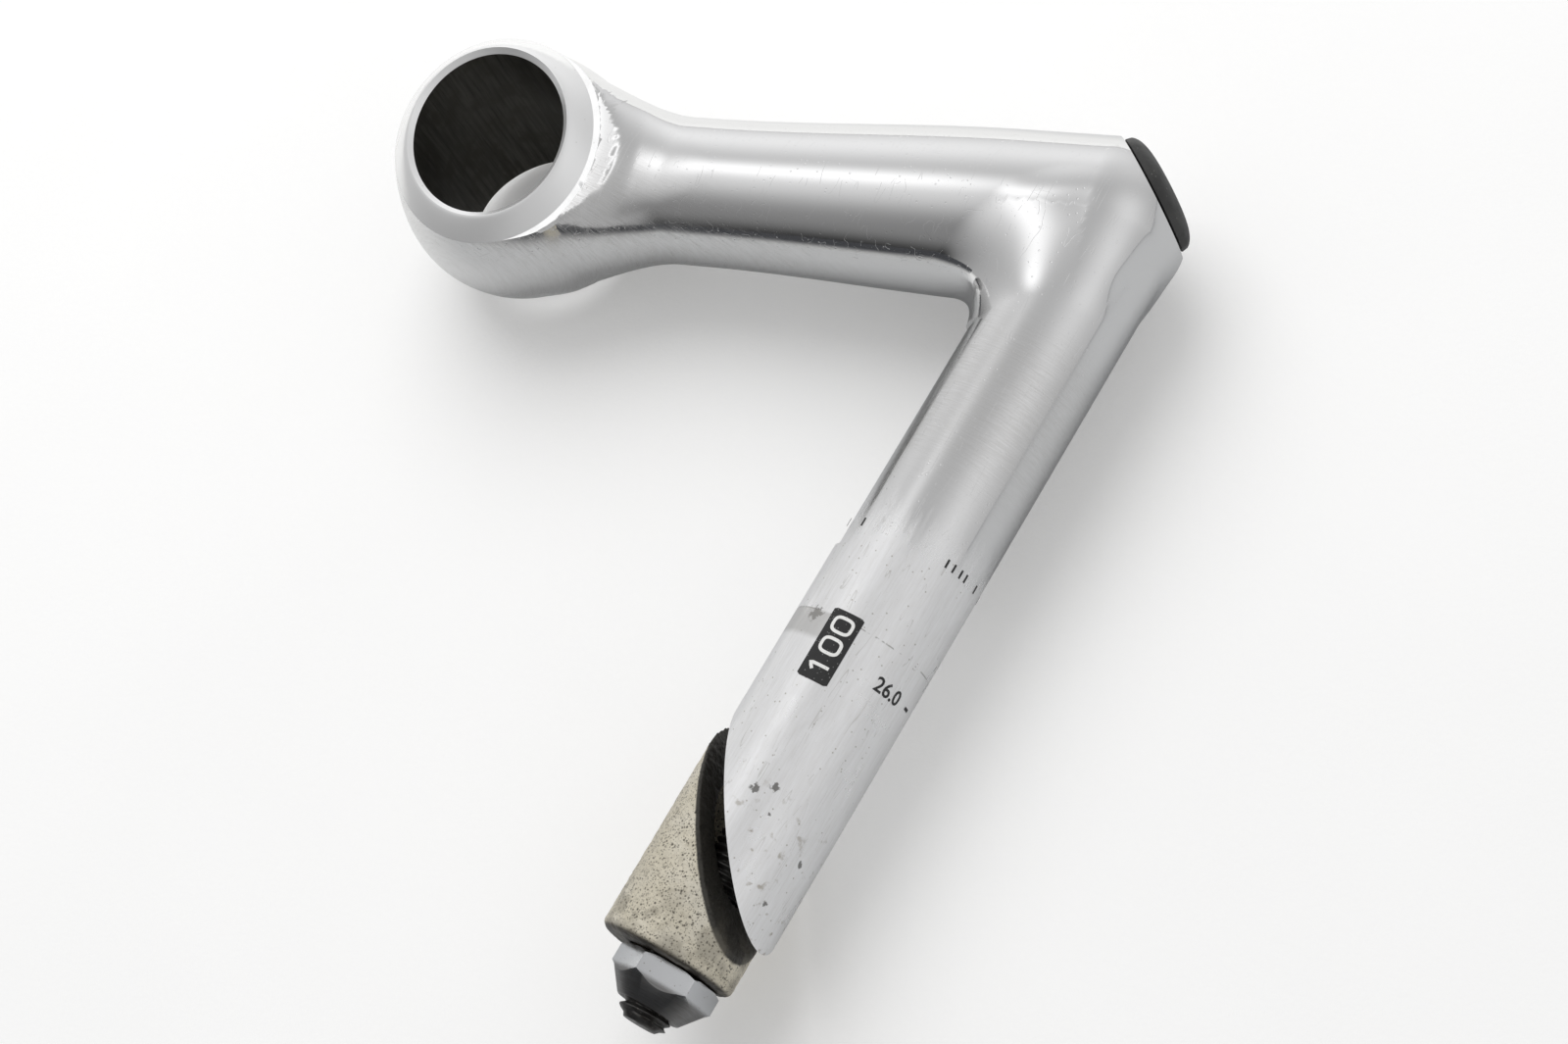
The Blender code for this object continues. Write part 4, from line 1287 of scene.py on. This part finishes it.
def sheet_of_paper():
    floor = square("floor", SHEET_HALF, 0)
    f = Finish("paper_sheet", (0.8, 0.8, 0.795), 0.0, 0.9)
    f.tint(f.mask("clouds", Scale=0.02, Low=0.3, High=0.7), (0.82, 0.82, 0.815), 0.5)
    f.shader.inputs["Emission Color"].default_value = (1.0, 0.995, 0.98, 1.0)
    f.shader.inputs["Emission Strength"].default_value = 0.2
    f.raise_by(f.mask("clouds", Scale=1.2, Low=0.3, High=0.7), 0.01)
    floor.data.materials.append(f.done())


def only_mirrored(obj, finish):
    """Leaves an object to reflections alone, as a card outside the picture would be."""
    obj.data.materials.append(finish.done())
    for kind in ("camera", "diffuse", "shadow", "transmission", "volume_scatter"):
        setattr(obj, "visible_" + kind, False)


def dark_card():
    corners = [(CARD_LEFT, CARD_PLACE, 0), (CARD_RIGHT, CARD_PLACE, 0),
               (CARD_RIGHT, CARD_PLACE, CARD_TOP), (CARD_LEFT, CARD_PLACE, CARD_TOP)]
    f = Finish("card_grey", (0.5, 0.5, 0.5), 0.0, 0.9)
    f.tint(f.along(DEPTH, -17.5, 4), (0.05, 0.052, 0.058))
    only_mirrored(plain_mesh("dark_card", corners, [(0, 1, 2, 3)]), f)


def dim_sheet():
    """Sheet as the metal sees it: painted light behind the stem, painted shade on the camera's side."""
    f = Finish("paper_painted_light_and_shade", (0.56, 0.565, 0.57), 0.0, 0.9)
    f.tint(f.beyond((-0.67, 0.74, 0), -10, 90), (0.93, 0.93, 0.92))
    only_mirrored(square("dim_sheet", DIM_SHEET_HALF, DIM_SHEET_UP), f)


def key_light():
    towards = direction_of(KEY_AZIMUTH, KEY_ELEVATION)
    data = bpy.data.lights.new("window", "AREA")
    data.shape = "DISK"
    data.size = KEY_SIZE
    data.energy = KEY_POWER
    light = linked("window", data)
    light.location = CROSSING + towards * KEY_DISTANCE
    light.rotation_euler = towards.to_track_quat("Z", "Y").to_euler()
    light.visible_glossy = False


def set_camera():
    data = bpy.data.cameras.new("camera")
    data.sensor_width = 36
    data.lens = LENS
    data.clip_start = 0.01
    camera = linked("camera", data)
    camera.location = CROSSING + Vector(EYE) * MM
    camera.rotation_euler = [radians(turn) for turn in CAMERA_TURN]
    bpy.context.scene.camera = camera


sheet_of_paper()
dark_card()
dim_sheet()
key_light()
set_camera()
print("camera at", [round(v, 3) for v in bpy.context.scene.camera.location])
